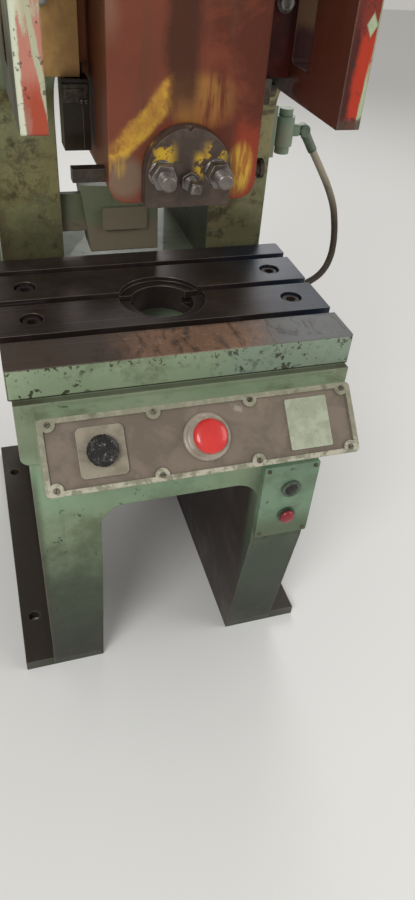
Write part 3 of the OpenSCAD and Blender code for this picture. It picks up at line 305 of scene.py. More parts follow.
def enamel(finish, tone=SAGE, pale=SAGE_PALE, dull=SAGE_DULL, dirt_and_shade=0.5, chips=0.5):
    broad = finish.cloud(5, 5, 0.65)
    runs = finish.cloud(1, 5, 0.6, finish.stretched(34, 34, 3.2))
    fine = finish.cloud(150, 3, 0.6)
    popped = finish.cloud(62, 4, 0.55).rise(0.69 - 0.05 * chips, 0.71 - 0.05 * chips)
    chip = popped * finish.cloud(9, 2).rise(0.42, 0.56)
    # Painted shade and grime: oil brown in the corners, from an occlusion mask.
    corner_shade_and_grime = finish.corners(0.03) * (0.4 + runs)
    colour = finish.coats(
        tone,
        (pale, broad.rise(0.48, 0.72) * 0.7),
        (dull, finish.cloud(8.5, 6, 0.7).fall(0.36, 0.52) * 0.75),
        (OIL_BROWN, runs.rise(0.56, 0.78) * dirt_and_shade * 0.7),
        (pale, fine.rise(0.6, 0.75) * 0.25),
        (CHIP_BLACK, chip * 0.85),
        (OIL_BROWN, corner_shade_and_grime.rise(0.22, 0.75) * dirt_and_shade * 1.2))
    return colour, broad * 0.5 + fine * 0.06 - chip * 0.35, chip


def rubbed(finish, colour, bare, radius=0.004, amount=0.75):
    rub = (finish.worn_edges(radius) * (0.35 + finish.cloud(38, 4, 0.7))).rise(0.06, 0.16) * amount
    return finish.mix(colour, bare, rub), rub


def dress(finish, *nodes):
    for name in nodes:
        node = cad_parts[name]
        node.data.materials.clear()
        node.data.materials.append(finish.material)
    print(finish.material.name, "on", ", ".join(nodes))


# %% [markdown]
# The frame is one casting that the maker painted in three colours: sage outside, dark
# maroon inside the head, and a warning red on the front edges of the cheeks, where older
# mint shows through. All of it is one material, so the regions are masks on the distance
# from the middle, the depth behind the table and the height. The direction that a face
# looks in, which is the same in every view, tells tops and sides from fronts.

# %% Measures of the frame
BED_FOOT, BED_TOP, HEAD_FOOT = up(-176), up(-52), up(305)

casting = Finish("casting_enamel", coat=0.15)
colour, height, chip = enamel(casting, dirt_and_shade=0.6, chips=0.55)
x, y, z = casting.axes
face_x, face_y, face_z = casting.split(casting.facing())
reach = x.size()
wobble = (casting.cloud(22, 3) - 0.5) * 0.05
right_half = x.rise(-0.05, 0.05)
left_half = 1 - right_half
upward = face_z.rise(0.5, 0.9)
over_table = z.rise(up(-60), up(-40))
in_head = z.rise(HEAD_FOOT, up(312))
print("the head starts", round(HEAD_FOOT, 3), "m above the floor")

# %% [markdown]
# Behind the table the sage has gone brown, and it is darker low down, more so on the left. What
# looks to the front is brown from the back of the table on, the sides only further back.

# %% The column
to_front = face_y.fall(-0.9, -0.5)
to_side = (y + wobble * 3).rise(back(300), back(600)) * 0.4
column = ((y + wobble * 0.4).rise(back(350), back(374)) * to_front + to_side * (1 - to_front)) * over_table
darker_low = (z + wobble * 2).fall(up(20), up(115)) * column
colour = casting.coats(
    colour,
    (casting.mix((116, 108, 68), (150, 140, 98), x.rise(-0.02, 0.02)), column * 0.92),
    ((64, 54, 35), column * casting.cloud(17, 6, 0.75, warp=0.6).rise(0.48, 0.62) * 0.75),
    ((118, 124, 88), casting.cloud(7, 5, 0.65).rise(0.46, 0.58) * column * 0.6),
    ((60, 54, 32), casting.cloud(30, 6, 0.78, warp=0.5).rise(0.52, 0.66) * column * 0.55),
    ((70, 62, 32), column * (x + wobble).fall(-0.26, -0.22) * 0.7),
    ((44, 38, 26), darker_low * (0.75 - right_half * 0.25)),
    ((42, 40, 26), casting.cloud(38, 4, 0.7).rise(0.56, 0.66) * column * 0.6))
print("column painted")

# %% [markdown]
# The bed is greyer, with oil on its left end, and the ledge that shows in front of the
# table is darker. Under its arch the old mint is left. The legs are painted from moss to nearly
# black towards the floor and darker on their outer sides, as painted shade, with pale dust on
# the feet.

# %% The bed, the legs and the feet
bed_end = z.inside(up(-120), up(-38), 0.01) * (x + wobble).fall(-0.25, -0.2) * face_z.rise(0.3, 0.7)
arch = z.inside(up(-300), up(-170), 0.03) * (x + wobble).fall(0.05, 0.1)
ledge = upward * z.inside(up(-60), up(-48), 0.002) * y.fall(back(-4), back(2))
splash = (z + wobble * 2).fall(0.02, 0.16) * casting.cloud(14, 5, 0.7).rise(0.4, 0.6)
dust = casting.mix((72, 70, 60), (56, 62, 50), (reach + wobble).rise(0.31, 0.26))
colour = casting.coats(
    colour,
    ((112, 116, 96), z.inside(BED_FOOT, BED_TOP, 0.004) * 0.45),
    ((70, 72, 48), bed_end * 0.6),
    ((128, 158, 130), arch * 0.5),
    ((44, 40, 28), ledge * 0.7),
    # Painted shade: the legs darken towards the floor, the right one a little less.
    (casting.mix((40, 49, 31), (33, 39, 27), right_half), (z + wobble * 3).fall(0.3, 0.62) * 0.92),
    ((58, 68, 52), x.rise(0.1, 0.14) * z.fall(0.5, 0.62) * 0.55),
    ((28, 33, 25), (z + wobble * 3).fall(0.02, 0.3) * 0.8),
    # Painted shade: the outer sides of the legs are darker low down.
    ((54, 50, 36), reach.rise(0.246, 0.2595) * z.fall(0.6, 0.67) * 0.6),
    ((58, 49, 39), splash * 0.55),
    (dust, y.fall(back(68), back(72)) * z.fall(0.0235, 0.0255) * 0.9),
    ((46, 38, 30), z.inside(0.02, 0.03, 0.002) * upward * 0.94))
print("bed and legs painted")

# %% [markdown]
# Inside, the passage between the legs and the throat of the column are painted dark, as painted
# shade, and the head is maroon up to its roof, darker further back as painted shade. The cut in
# the cheeks that the gibs stand in is bare, painted near black below a line as painted shade.
# The left cheek's outer side is painted darker low down at the front, as painted shade.

# %% The inside of the frame
passage = reach.fall(0.151, 0.156) * y.rise(back(16), back(40)) * z.fall(BED_FOOT, up(-168))
throat = y.rise(back(384), back(388)) * reach.fall(0.16, 0.166) * over_table
throat = throat * face_x.size().rise(0.5, 0.9) * z.fall(up(300), up(312))
roof = face_z.rise(0.3, 0.7) * z.rise(up(900), up(920))
inner_face = reach.fall(0.1885, 0.1895) * in_head * (1 - roof) * y.fall(back(700), back(712))
maroon = casting.coats(
    (58, 30, 21),
    ((76, 24, 13), right_half),
    # Painted shade: the inner faces darken further back in the head.
    ((40, 13, 6), (y + wobble).rise(back(190), back(260)) * 0.8))
reveal = y.inside(back(127), back(191), 0.0006) * reach.inside(0.1875, 0.2205, 0.0004)
reveal = reveal * z.inside(up(358), up(482), 0.0006)
# Painted shade: the left cheek's outer side is darker low down at the front.
shaded_left_side = reach.rise(0.2195, 0.2205) * in_head * left_half * (z + wobble * 2).fall(up(390), up(520))
shaded_left_side = shaded_left_side * (y + wobble * 3).fall(back(190), back(440))
colour = casting.coats(
    colour,
    # Painted shade: the passage under the bed and the throat of the column are dark.
    ((44, 28, 22), passage * 0.92),
    ((46, 40, 28), throat * 0.8),
    (maroon, inner_face * 0.96),
    # Painted shade: the cut is near black below the line, brown above it.
    (casting.mix((40, 1, 0), (78, 54, 34), (z + wobble * 0.4).rise(up(398), up(416))), reveal),
    ((48, 42, 16), shaded_left_side * 0.98))
print("inside painted")

# %% [markdown]
# The front edges of the cheeks are the most worn paint on the press. On the left one a
# chalky mint strip runs down the outer corner, a second one crosses it as a long slanting
# scrape, and the red between them goes from pink to orange towards the foot. On the right
# one the red is darker, with mint only at the outer corner. Two coordinates are enough to
# place all of it: how far across the edge a point is, and how high.

# %% The warning edges of the cheeks
CHEEK_INSIDE, CHEEK_WIDTH = 0.188, 0.033

cheek_front = y.fall(back(15.5), back(17)) * in_head
across = (reach - CHEEK_INSIDE) * (1 / CHEEK_WIDTH)
high = (z - up(315)) * 10
fray = casting.cloud(1, 5, 0.7, casting.stretched(90, 90, 26)) - 0.5
scrape = (high * 0.42 - 0.14 - across + fray * 0.25).size().rise(0.07, 0.13)
mint = (1 - scrape).over((across + fray * 0.35).rise(0.74, 0.82))
mint = mint.over((high + fray * 1.6).rise(1.15, 1.4) * 0.9)
left_paint = casting.coats(
    (156, 66, 44),
    ((176, 116, 100), (high + fray * 0.6).rise(0.3, 0.75)),
    ((152, 108, 94), (across + fray).inside(0.55, 1.2, 0.12) * high.fall(0.2, 0.5) * 0.8),
    (casting.mix((196, 200, 176), (168, 168, 140), across.fall(0.5, 0.8)), mint))
drip = (across + fray * 0.2 - high * 0.12).rise(0.74, 0.8) * (high + fray).fall(0.6, 0.9)
drip = drip.over((across + fray * 0.15).rise(0.93, 0.97) * 0.8)
knock = ((across - 0.72).size() * 0.6 + (high - 1.22).size()).fall(0.1, 0.16)
cheek_paint = casting.coats(
    (66, 19, 8),
    ((164, 45, 20), (across + fray * 0.5).rise(0.2, 0.5)),
    ((96, 34, 24), (high + fray).rise(1.0, 1.3) * 0.8),
    ((156, 170, 138), drip.over(knock)),
    ((70, 52, 44), (high + fray * 0.3).fall(0.1, 0.16) * 0.9),
    (left_paint, left_half),
    (CHIP_BLACK, casting.cloud(95, 3).rise(0.63, 0.67) * 0.7))
colour = casting.mix(colour, cheek_paint, cheek_front)
colour, rub = rubbed(casting, colour, (140, 136, 118), 0.0035, 0.5)
oily = casting.cloud(7, 4).rise(0.45, 0.7)
casting.paint(colour, 0.6 - oily * 0.2 + chip * 0.2 + reveal * 0.3)
casting.relief(height - rub * 0.1 + cheek_front * mint * 0.3, 0.0016, edge=0.0035)
dress(casting, "frame")

# %% [markdown]
# Covers, boxes and the guard carry the same enamel, cleaner and rubbed along their edges.
# The station is greener and darker at its foot, and the valve box stands in the oil behind
# the table.

# %% The enamel of covers and boxes
covers = Finish("cover_enamel", coat=0.15)
colour, height, chip = enamel(covers, dirt_and_shade=0.4, chips=0.1)
colour, _ = rubbed(covers, colour, (150, 148, 130), 0.003, 0.6)
covers.paint(colour, 0.5 + chip * 0.25)
covers.relief(height, 0.0012, edge=0.002)
dress(covers, "front_cover", "top_cover", "belt_guard", "guard_plate", "motor_base", "console_box")

station = Finish("station_enamel", coat=0.15)
colour, height, _ = enamel(station, tone=(106, 131, 107), pale=(118, 142, 118),
                           dull=(90, 108, 84), dirt_and_shade=0.3, chips=0.2)
colour = station.mix(colour, (80, 92, 68), station.axes[2].fall(up(-425), up(-360)) * 0.95)
colour, _ = rubbed(station, colour, (132, 140, 120), 0.002, 0.5)
station.paint(colour, roughness=0.5)
station.relief(height, 0.0008, edge=0.002)
dress(station, "station_box")

grimy = Finish("grimy_enamel", coat=0.1)
x, y, z = grimy.axes
colour, height, _ = enamel(grimy, tone=(92, 98, 76), pale=(108, 112, 88),
                           dull=(86, 80, 62), dirt_and_shade=0.9, chips=0.3)
taupe = (z + (grimy.cloud(24, 4) - 0.5) * 0.05).fall(up(38), up(66))
colour = grimy.coats(
    colour,
    ((106, 96, 80), taupe.over(y.fall(back(379), back(382))) * 0.85),
    ((34, 30, 20), x.fall(-0.142, -0.134) * 0.85))
grimy.paint(colour, roughness=0.55)
grimy.relief(height, 0.0014, edge=0.003)
dress(grimy, "valve_box", "valve_box_cover")

# %% [markdown]
# ## The table
# Its sides are painted, its top is planed cast iron, brown with oil. Fine planing lines run
# along the slots. The front land is dry and rusty in the middle, where dies are slid on and
# off, and the right end is painted a cold blue, as a painted reflection.

# %% The table's painted sides
table = Finish("table_iron")
x, y, z = table.axes
painted, height, _ = enamel(table, tone=(130, 146, 118), pale=(150, 164, 136), dirt_and_shade=0.35, chips=1.5)
cooler = (x + (table.cloud(14, 4) - 0.5) * 0.1).rise(-0.02, 0.1)
nicks = table.cloud(110, 3, 0.7).rise(0.58, 0.62) * z.rise(up(-34), up(-6))
nicks = nicks.over(table.cloud(60, 4, 0.7).rise(0.58, 0.61) * cooler)
painted = table.coats(
    painted,
    ((126, 140, 128), cooler * 0.6),
    ((52, 46, 36), nicks * 0.85),
    ((34, 32, 22), z.fall(up(-51.5), up(-49.5)) * 0.95))
side = x.size().rise(0.2788, 0.2794).over(y.fall(back(0.6), back(1.2)))
side = side.over(y.rise(back(358.8), back(359.4)))
iron = z.rise(up(-2.2), up(-0.8)).over(1 - side)
print("sides painted")

# %% Oiled cast iron
grain = table.cloud(1, 3, 0.6, table.stretched(5, 420, 60))
stain = table.cloud(7, 6, 0.68, warp=0.8)
rust_run = table.cloud(1, 5, 0.7, table.stretched(40, 14, 14), warp=0.6)
scratch = table.cloud(1, 2, 0.5, table.stretched(3, 900, 60)).rise(0.66, 0.7)
land = (y + (table.cloud(30, 3) - 0.5) * 0.02).fall(back(68), back(84))
middle = (x + (stain - 0.5) * 0.1).inside(-0.09, 0.12, 0.05)
# Painted reflection: a cold blue sheen on the right end of the top, less metallic there.
blue_sheen = (x + (stain - 0.5) * 0.24).rise(0.1, 0.24) * (1 - land)
dry = table.coats(
    (84, 72, 64),
    ((100, 102, 102), x.rise(-0.02, 0.2)),
    ((158, 122, 98), rust_run.rise(0.32, 0.52) * middle * 0.9),
    ((168, 146, 124), table.cloud(90, 4, 0.7).rise(0.54, 0.64) * middle * 0.7),
    ((60, 50, 44), rust_run.rise(0.56, 0.68) * 0.6))
oiled = table.coats(
    (52, 43, 40),
    ((70, 60, 56), stain.rise(0.42, 0.66)),
    (dry, land * 0.92),
    ((20, 34, 50), blue_sheen * 0.85),
    ((128, 120, 116), scratch * 0.35),
    ((60, 36, 26), table.cloud(26, 5, 0.7).rise(0.6, 0.68) * 0.5),
    # Painted shade: darker in the slots and corners.
    ((20, 16, 14), table.corners(0.02) * 0.8))
colour, _ = rubbed(table, table.mix(painted, oiled, iron), (150, 143, 132), 0.0018, 0.7)
table.paint(colour, 0.52 - iron * 0.16 + land * iron * 0.12 + (grain - 0.5) * 0.12,
            Metallic=iron * 0.55 - blue_sheen * iron * 0.3)
table.relief(height * (1 - iron) + grain * iron * 0.12, 0.0011, edge=0.0015)
dress(table, "table")

# %% [markdown]
# ## The ram and its clamp
# The ram's face is brick red over older ochre. Grease has run down its middle, and the
# upper coat is worn off in an arch round the clamp, where hands and spanners go.

# %% The ram's red paint
ram = Finish("ram_enamel", coat=0.15)
x, y, z = ram.axes
wave = (ram.cloud(20, 5, 0.7) - 0.5) * 0.08
brush = ram.cloud(1, 4, 0.65, ram.stretched(60, 60, 7))
foot_red = ram.mix((106, 54, 34), (142, 52, 28), x.rise(-0.02, 0.02))
red = ram.coats(
    (110, 54, 36),
    ((82, 32, 12), (x + wave * 0.8).rise(-0.02, 0.05)),
    ((122, 58, 38), ram.cloud(8, 5, 0.7, warp=0.4).rise(0.5, 0.66) * 0.6),
    ((86, 58, 40), brush.rise(0.52, 0.7) * 0.45),
    ((74, 44, 28), ram.cloud(13, 5, 0.7).rise(0.54, 0.68) * 0.5),
    ((128, 92, 76), (x + wave * 0.3).fall(-0.104, -0.084) * z.rise(up(380), up(440)) * 0.7),
    (foot_red, (z + wave).fall(up(284), up(330)) * x.size().rise(0.06, 0.08) * 0.75))
print("ram's red laid")

# %% [markdown]
# Older yellow shows in four places round the clamp: as a band that climbs over the left
# shoulder at 45 degrees, as a softer ochre cloud above the cap, as streaks at the lower
# right, and as dirty cream at the lower left corner. Each place is a mask of its own: the
# band is a distance from a slanting line, the others are distances from a point.

# %% Yellow on the ram
def blot(x_mm, height_mm, wide, tall):
    aside = ((x + wave * 0.25 - x_mm / 1000) * (1000 / wide)).size()
    above = ((z + wave * 0.25 - up(height_mm)) * (1000 / tall)).size()
    return ram.node("Math", {"operation": "SQRT"}, {0: aside * aside + above * above}).fall(0.65, 1.35)


on_front = y.fall(back(80), back(82))
grit = ram.cloud(34, 4, 0.7)
worn = (brush * 0.4 + grit * 0.7).rise(0.42, 0.56)
streaks = ram.cloud(1, 4, 0.7, ram.stretched(120, 60, 16)).rise(0.4, 0.55)
band = (z - x - up(367) + wave * 0.35).size().fall(0.013, 0.026)
band = band * (x + wave * 0.3).fall(-0.03, -0.014) * z.rise(up(256), up(270))
crown = blot(14, 336, 46, 32).over(blot(-20, 344, 24, 16)) * brush.rise(0.36, 0.56)
bright_yellow = ram.mix((176, 128, 46), (196, 154, 52), grit.rise(0.46, 0.6))
yellowed = ram.coats(
    red,
    ((146, 100, 46), crown * on_front * 0.8),
    ((160, 116, 48), blot(26, 350, 20, 12) * worn * on_front * 0.2),
    ((150, 84, 36), blot(38, 318, 26, 18) * worn * on_front * 0.25),
    (bright_yellow, band * (worn * 0.6 + 0.4) * on_front * 0.95),
    ((194, 156, 54), blot(80, 246, 17, 32) * (streaks * 0.7 + 0.3) * on_front * 0.9),
    ((116, 97, 78), blot(-82, 240, 24, 26) * on_front * 0.85),
    ((174, 140, 60), blot(-94, 256, 12, 14) * streaks * on_front * 0.6))
print("yellow laid")

# %% Grease on the ram
grease = (x + 0.008 + wave * 0.3).size().fall(0.012, 0.03) * (z + wave * 0.2).rise(up(312), up(350))
film = ram.cloud(5, 4).rise(0.5, 0.7)
colour = ram.coats(
    yellowed,
    ((59, 31, 18), grease * on_front * 0.85),
    ((66, 38, 24), film * 0.3),
    ((104, 58, 32), y.rise(back(81), back(90)) * 0.85),
    ((160, 90, 48), x.size().rise(0.1075, 0.109) * 0.9))
colour, _ = rubbed(ram, colour, (142, 92, 76), 0.003, 0.6)
ram.paint(colour, 0.5 - grease * 0.2 - film * 0.12)
ram.relief(brush * 0.25 + ram.cloud(70, 3) * 0.1 + band * worn * 0.15, 0.0012, edge=0.004)
dress(ram, "ram")

# %% [markdown]
# The clamp cap is dark oiled steel with yellow paint left in its hollows.

# %% The clamp cap
cap = Finish("cap_steel")
x, _, z = cap.axes
patch = cap.cloud(24, 5, 0.7, warp=0.7)
hollows = x.size().inside(0.022, 0.05, 0.01) * z.inside(up(258), up(288), 0.01)
drop = x.inside(0.008, 0.022, 0.006) * z.inside(up(246), up(276), 0.008)
left_over = cap.cloud(42, 4, 0.7).rise(0.47, 0.53) * hollows.over(drop)
colour = cap.coats(
    (74, 63, 56),
    ((90, 78, 69), patch.rise(0.4, 0.62)),
    ((196, 158, 44), left_over * 0.9),
    ((104, 40, 32), cap.cloud(30, 3).rise(0.62, 0.66) * 0.5))
colour, rub = rubbed(cap, colour, (112, 104, 96), 0.002, 0.5)
cap.paint(colour, 0.5 - rub * 0.2, Metallic=0.4 - left_over * 0.4)
cap.relief(patch * 0.3 + left_over * 0.15, 0.001, edge=0.0025)
dress(cap, "clamp_cap")

# %% [markdown]
# ## Steels, bronze, rubber and plastics
# The smaller finishes follow one plan: a base tone, a second tone in patches, specks of dirt,
# painted shade in the corners, and a roughness that changes with them. One function mixes them
# all. It is given the two tones, how fine the patches are, the roughness, the share of metal, the
# gloss, and the tone that shows where it is rubbed bare.

# %% Metals
SHEET_EDGE = 0.0012


def patched(name, first, second, scale, roughness, metallic=0.0, coat=0.0, dirt_and_shade=0.5, grain=0.15, bare=None):
    finish = Finish(name, metallic, coat)
    patch = finish.cloud(scale, 5, 0.65, warp=0.3)
    specks = finish.cloud(scale * 7, 3, 0.6)
    colour = finish.coats(
        first,
        (second, patch.rise(0.4, 0.62)),
        ((30, 25, 20), specks.rise(0.62, 0.72) * dirt_and_shade * 0.5),
        # Painted shade: darker in the corners.
        ((28, 22, 18), finish.corners(0.012) * dirt_and_shade))
    if bare:
        colour, _ = rubbed(finish, colour, bare, SHEET_EDGE * 1.6, 0.7)
    finish.paint(colour, (patch - 0.5) * 0.3 + roughness)
    finish.relief(patch * 0.2 + specks * grain, 0.0006, edge=SHEET_EDGE)
    return finish


bright = patched("oiled_steel", (150, 146, 142), (104, 98, 92), 30, 0.3, 0.9, dirt_and_shade=0.55)
dress(bright, "panel_screws", "gib_screws", "cover_screws", "crankshaft", "motor_shaft", "pitman_screw",
      "flywheel_bearings", "hose_fittings", "clamp_studs", "clamp_nuts", "set_screw")
dress(patched("black_steel", (58, 52, 48), (80, 68, 58), 22, 0.45, 0.5, bare=(120, 114, 106)),
      "ram_lugs", "ball_retainer", "brake_band", "brake_drum", "shaft_caps",
      "pitman", "lock_nut", "flywheel", "clutch_cover", "motor_pulley")
dress(patched("sunk_screws", (44, 38, 36), (58, 50, 46), 60, 0.5, 0.5, dirt_and_shade=0.6, bare=(82, 74, 68)),
      "table_screws")
dress(patched("bearing_bronze", (168, 124, 66), (122, 88, 48), 24, 0.32, 0.9),
      "main_bushes", "ball_pad", "clutch_disc", "pitman_bush")
dress(patched("dull_zinc", (112, 106, 94), (84, 76, 62), 26, 0.42, 0.5, bare=(160, 156, 146)), "gib_bracket")
print("metals done")

# %% Paints of the small parts
dress(patched("yellowed_cream", (222, 180, 106), (194, 150, 96), 9, 0.5, coat=0.1, dirt_and_shade=0.25,
              bare=(196, 166, 112)), "left_gib")
dress(patched("old_red", (76, 20, 10), (48, 12, 6), 13, 0.48, coat=0.1, dirt_and_shade=0.6, bare=(150, 60, 44)),
      "right_gib")
dress(patched("black_tin", (34, 24, 8), (48, 37, 20), 14, 0.4, coat=0.15, bare=(78, 74, 62)), "drip_box")
dress(patched("teal_enamel", (114, 134, 114), (132, 136, 114), 22, 0.4, 0.1, 0.2, bare=(140, 140, 130)),
      "air_bracket", "air_regulator")
dress(patched("motor_enamel", (88, 100, 102), (104, 108, 102), 9, 0.5, coat=0.1, bare=(140, 142, 138)),
      "motor_housing", "motor_fan_cover", "terminal_box")
dress(patched("belt_rubber", (34, 33, 32), (48, 46, 44), 40, 0.7, dirt_and_shade=0.2, grain=0.3), "belts")
dress(patched("dark_bezel", (74, 88, 72), (52, 60, 48), 60, 0.45, coat=0.1, dirt_and_shade=0.7), "station_rings")
black_mould = patched("black_mould", (30, 29, 28), (44, 42, 40), 30, 0.4, dirt_and_shade=0.3)
dress(black_mould, "contact_blocks", "start_button", "palm_button")

# %% [markdown]
# ## The console
# Its cover is a shallow cast tray: a grey-brown floor inside a raised rim whose green paint
# is rubbed to a chalky white. Height above the tray tells rim from floor, so the material
# turns the object's coordinates until one axis stands square to the slanted face.

# %% The tray of the console
SLANT = math.radians(45)
PANEL_TOP = spot(0, -65, -43.5)

tray = Finish("console_tray", coat=0.1)
along, slope, proud = tray.split(tray.node("Mapping", {"vector_type": "TEXTURE"}, {
    "Vector": tray.place, "Location": PANEL_TOP, "Rotation": (SLANT, 0, 0)}))
smear = tray.cloud(16, 6, 0.7, warp=0.5)
chalk = tray.cloud(60, 5, 0.75)
pale_spot = ((along - 0.052) * (along - 0.052) + (slope + 0.02) * (slope + 0.02)).fall(0.00003, 0.00018)
raised = proud.rise(0.0006, 0.0022)
rim = tray.coats(
    (124, 124, 104),
    ((142, 138, 120), chalk.rise(0.45, 0.6)),
    ((176, 172, 154), chalk.rise(0.42, 0.56) * slope.fall(-0.1, -0.08) * 0.8),
    ((86, 84, 66), tray.cloud(34, 4).rise(0.58, 0.68) * 0.6))
colour = tray.coats(
    (115, 103, 91),
    ((101, 90, 78), smear.rise(0.42, 0.6)),
    ((134, 122, 106), tray.cloud(24, 5, 0.7).rise(0.58, 0.72) * 0.6),
    ((150, 146, 130), pale_spot * tray.cloud(80, 3).rise(0.4, 0.6) * 0.7),
    (rim, raised),
    # Painted shade: darker in the corners of the tray.
    ((58, 50, 42), tray.corners(0.008) * 0.7))
colour, _ = rubbed(tray, colour, (166, 160, 142), 0.0015, 0.7)
tray.paint(colour, 0.58 - raised * 0.08)
tray.relief(smear * 0.2 + chalk * 0.2 * raised, 0.0008, edge=0.0015)
dress(tray, "console_cover")

# %% Plates, collar and buttons
dress(patched("worn_plate", (140, 132, 116), (120, 112, 96), 26, 0.5, coat=0.1, dirt_and_shade=0.6,
              bare=(178, 174, 158)), "palm_plate")
dress(patched("blank_plate_green", (160, 166, 146), (142, 148, 126), 30, 0.5, coat=0.1, dirt_and_shade=0.45,
              bare=(190, 190, 174)), "blank_plate")
shell = patched("pale_shell", (160, 152, 138), (136, 126, 112), 26, 0.4, coat=0.15, dirt_and_shade=0.4)
dress(shell, "e_stop_ring")
signal_red = patched("signal_red", (200, 52, 48), (190, 44, 42), 34, 0.32, coat=0.4, dirt_and_shade=0.1)
wine_red = patched("wine_red", (132, 34, 44), (118, 30, 38), 34, 0.36, coat=0.3, dirt_and_shade=0.2)

# %% [markdown]
# ## Turned and milled parts
# Everything round on this press was turned on a lathe, and a lathe part is quickest made as
# the lathe makes it: half of its outline is spun about an axis. A hexagon is a short
# six-sided cylinder whose corners are cut off at both ends. Parts are made at the origin,
# standing on their foot, and one matrix then carries all of their vertices to their place.

# %% A lathe, a hexagon and a way to place parts
def turned(outline, steps=48):
    mesh = bmesh.new()
    dots = [mesh.verts.new((r / 1000, 0, h / 1000)) for r, h in outline]
    lines = [mesh.edges.new(pair) for pair in zip(dots, dots[1:])]
    bmesh.ops.spin(mesh, geom=dots + lines, cent=(0, 0, 0), axis=(0, 0, 1), angle=math.tau,
                   steps=steps, use_merge=True)
    bmesh.ops.remove_doubles(mesh, verts=mesh.verts, dist=1e-6)
    bmesh.ops.recalc_face_normals(mesh, faces=mesh.faces)
    return mesh


def hexagon(flats, tall, foot, cut):
    mesh = bmesh.new()
    corner = flats / math.sqrt(3) / 1000
    bmesh.ops.create_cone(mesh, cap_ends=True, segments=6, radius1=corner, radius2=corner,
                          depth=tall / 1000)
    bmesh.ops.bevel(mesh, geom=list(mesh.verts), offset=cut / 1000, segments=2, profile=0.5,
                    affect="VERTICES", material=-1)
    bmesh.ops.translate(mesh, verts=mesh.verts, vec=(0, 0, (foot + tall / 2) / 1000))
    return mesh


def eased(mesh, offset):
    bmesh.ops.bevel(mesh, geom=list(mesh.edges), offset=offset, segments=3, profile=0.5,
                    affect="EDGES", material=-1)
    return mesh


def joined(*parts):
    whole = bmesh.new()
    for part, place in parts:
        bmesh.ops.transform(part, matrix=place, verts=part.verts)
        slice_mesh = bpy.data.meshes.new("slice")
        part.to_mesh(slice_mesh)
        whole.from_mesh(slice_mesh)
        bpy.data.meshes.remove(slice_mesh)
    return whole


def shown(name, parts, finish, body, *replaced, slot="steel", crease=38):
    data = bpy.data.meshes.new(name)
    mesh = joined(*parts)
    mesh.to_mesh(data)
    mesh.free()
    data.shade_smooth()
    data.set_sharp_from_angle(angle=math.radians(crease))
    data.materials.append(finish.material)
    piece = bpy.data.objects.new(name, data)
    scene.collection.objects.link(piece)
    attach(piece, body)
    if replaced:
        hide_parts(*replaced)
    print(name, "has", len(data.polygons), "faces")


# %% Directions that the parts stand in
TO_FRONT = Matrix.Rotation(math.radians(90), 4, "X")
TO_BACK = Matrix.Rotation(math.radians(-90), 4, "X")
TO_RIGHT = Matrix.Rotation(math.radians(90), 4, "Y")
SLANTED = Matrix.Rotation(SLANT, 4, "X")
STILL = Matrix()


def at(x, behind, height_mm, turn=STILL):
    return Matrix.Translation(spot(x, behind, height_mm)) @ turn


def twist(angle):
    return Matrix.Rotation(angle, 4, "Z")


def on_panel(x, down, proud=0.0):
    return Matrix.Translation(PANEL_TOP) @ SLANTED @ Matrix.Translation(Vector((x, -down, proud)) / 1000)


print("a nut that points to the front looks along", TO_FRONT @ Vector((0, 0, 1)))

# %% [markdown]
# ## The emergency button
# A flat red mushroom with a rolled edge stands on a stem in a pale collar. The mushroom's
# outline is a dozen points, close together where the edge rolls over and far apart on the
# nearly flat top, so that the spin has its faces where the light turns. In the photograph
# it sits a little to one side of its collar, and so its cap is shifted by that much.

# %% Turn the emergency button and its collar
BUTTON_ROW = 56.5
CAP_FOOT = 0.0105
SHIFT = Vector((0.0022, -0.001, 0))

mushroom = turned([(0, 23), (9, 22.8), (16.6, 22), (21.8, 20.6), (25, 18.8), (26.5, 16.8), (27, 14.9),
                   (26.6, 13.2), (25.4, 12.1), (23.4, 12), (10, 12), (8, 11.2), (8, -16), (0, -16)], 64)
for vert in mushroom.verts:
    vert.co += SHIFT * max(0.0, min(1.0, (vert.co.z - CAP_FOOT) / 0.0015))
shown("stop_mushroom", [(mushroom, on_panel(0, BUTTON_ROW))], signal_red, "e_stop", "e_stop_button",
      slot="red_plastic")
collar = turned([(8.4, 0.2), (36.4, 0.2), (37, 1), (37, 2.6), (36.2, 3.9), (34.6, 4.6), (32, 5),
                 (30.5, 4.7), (29.4, 5.4), (27.5, 6), (10, 6), (8.4, 5.5), (8.4, -14), (11, -14),
                 (11, 0.2)], 72)
shown("stop_collar", [(collar, on_panel(0, BUTTON_ROW))], shell, "press_frame", "e_stop_ring",
      slot="grey_plastic")

# %% [markdown]
# The palm button has been hammered for years. Its rubber cap has crumbled, so a plain turned
# dome would look too new: its surface is broken up with a noise that pushes each vertex of
# the cap in or out along its normal. The stem stays as it was turned.

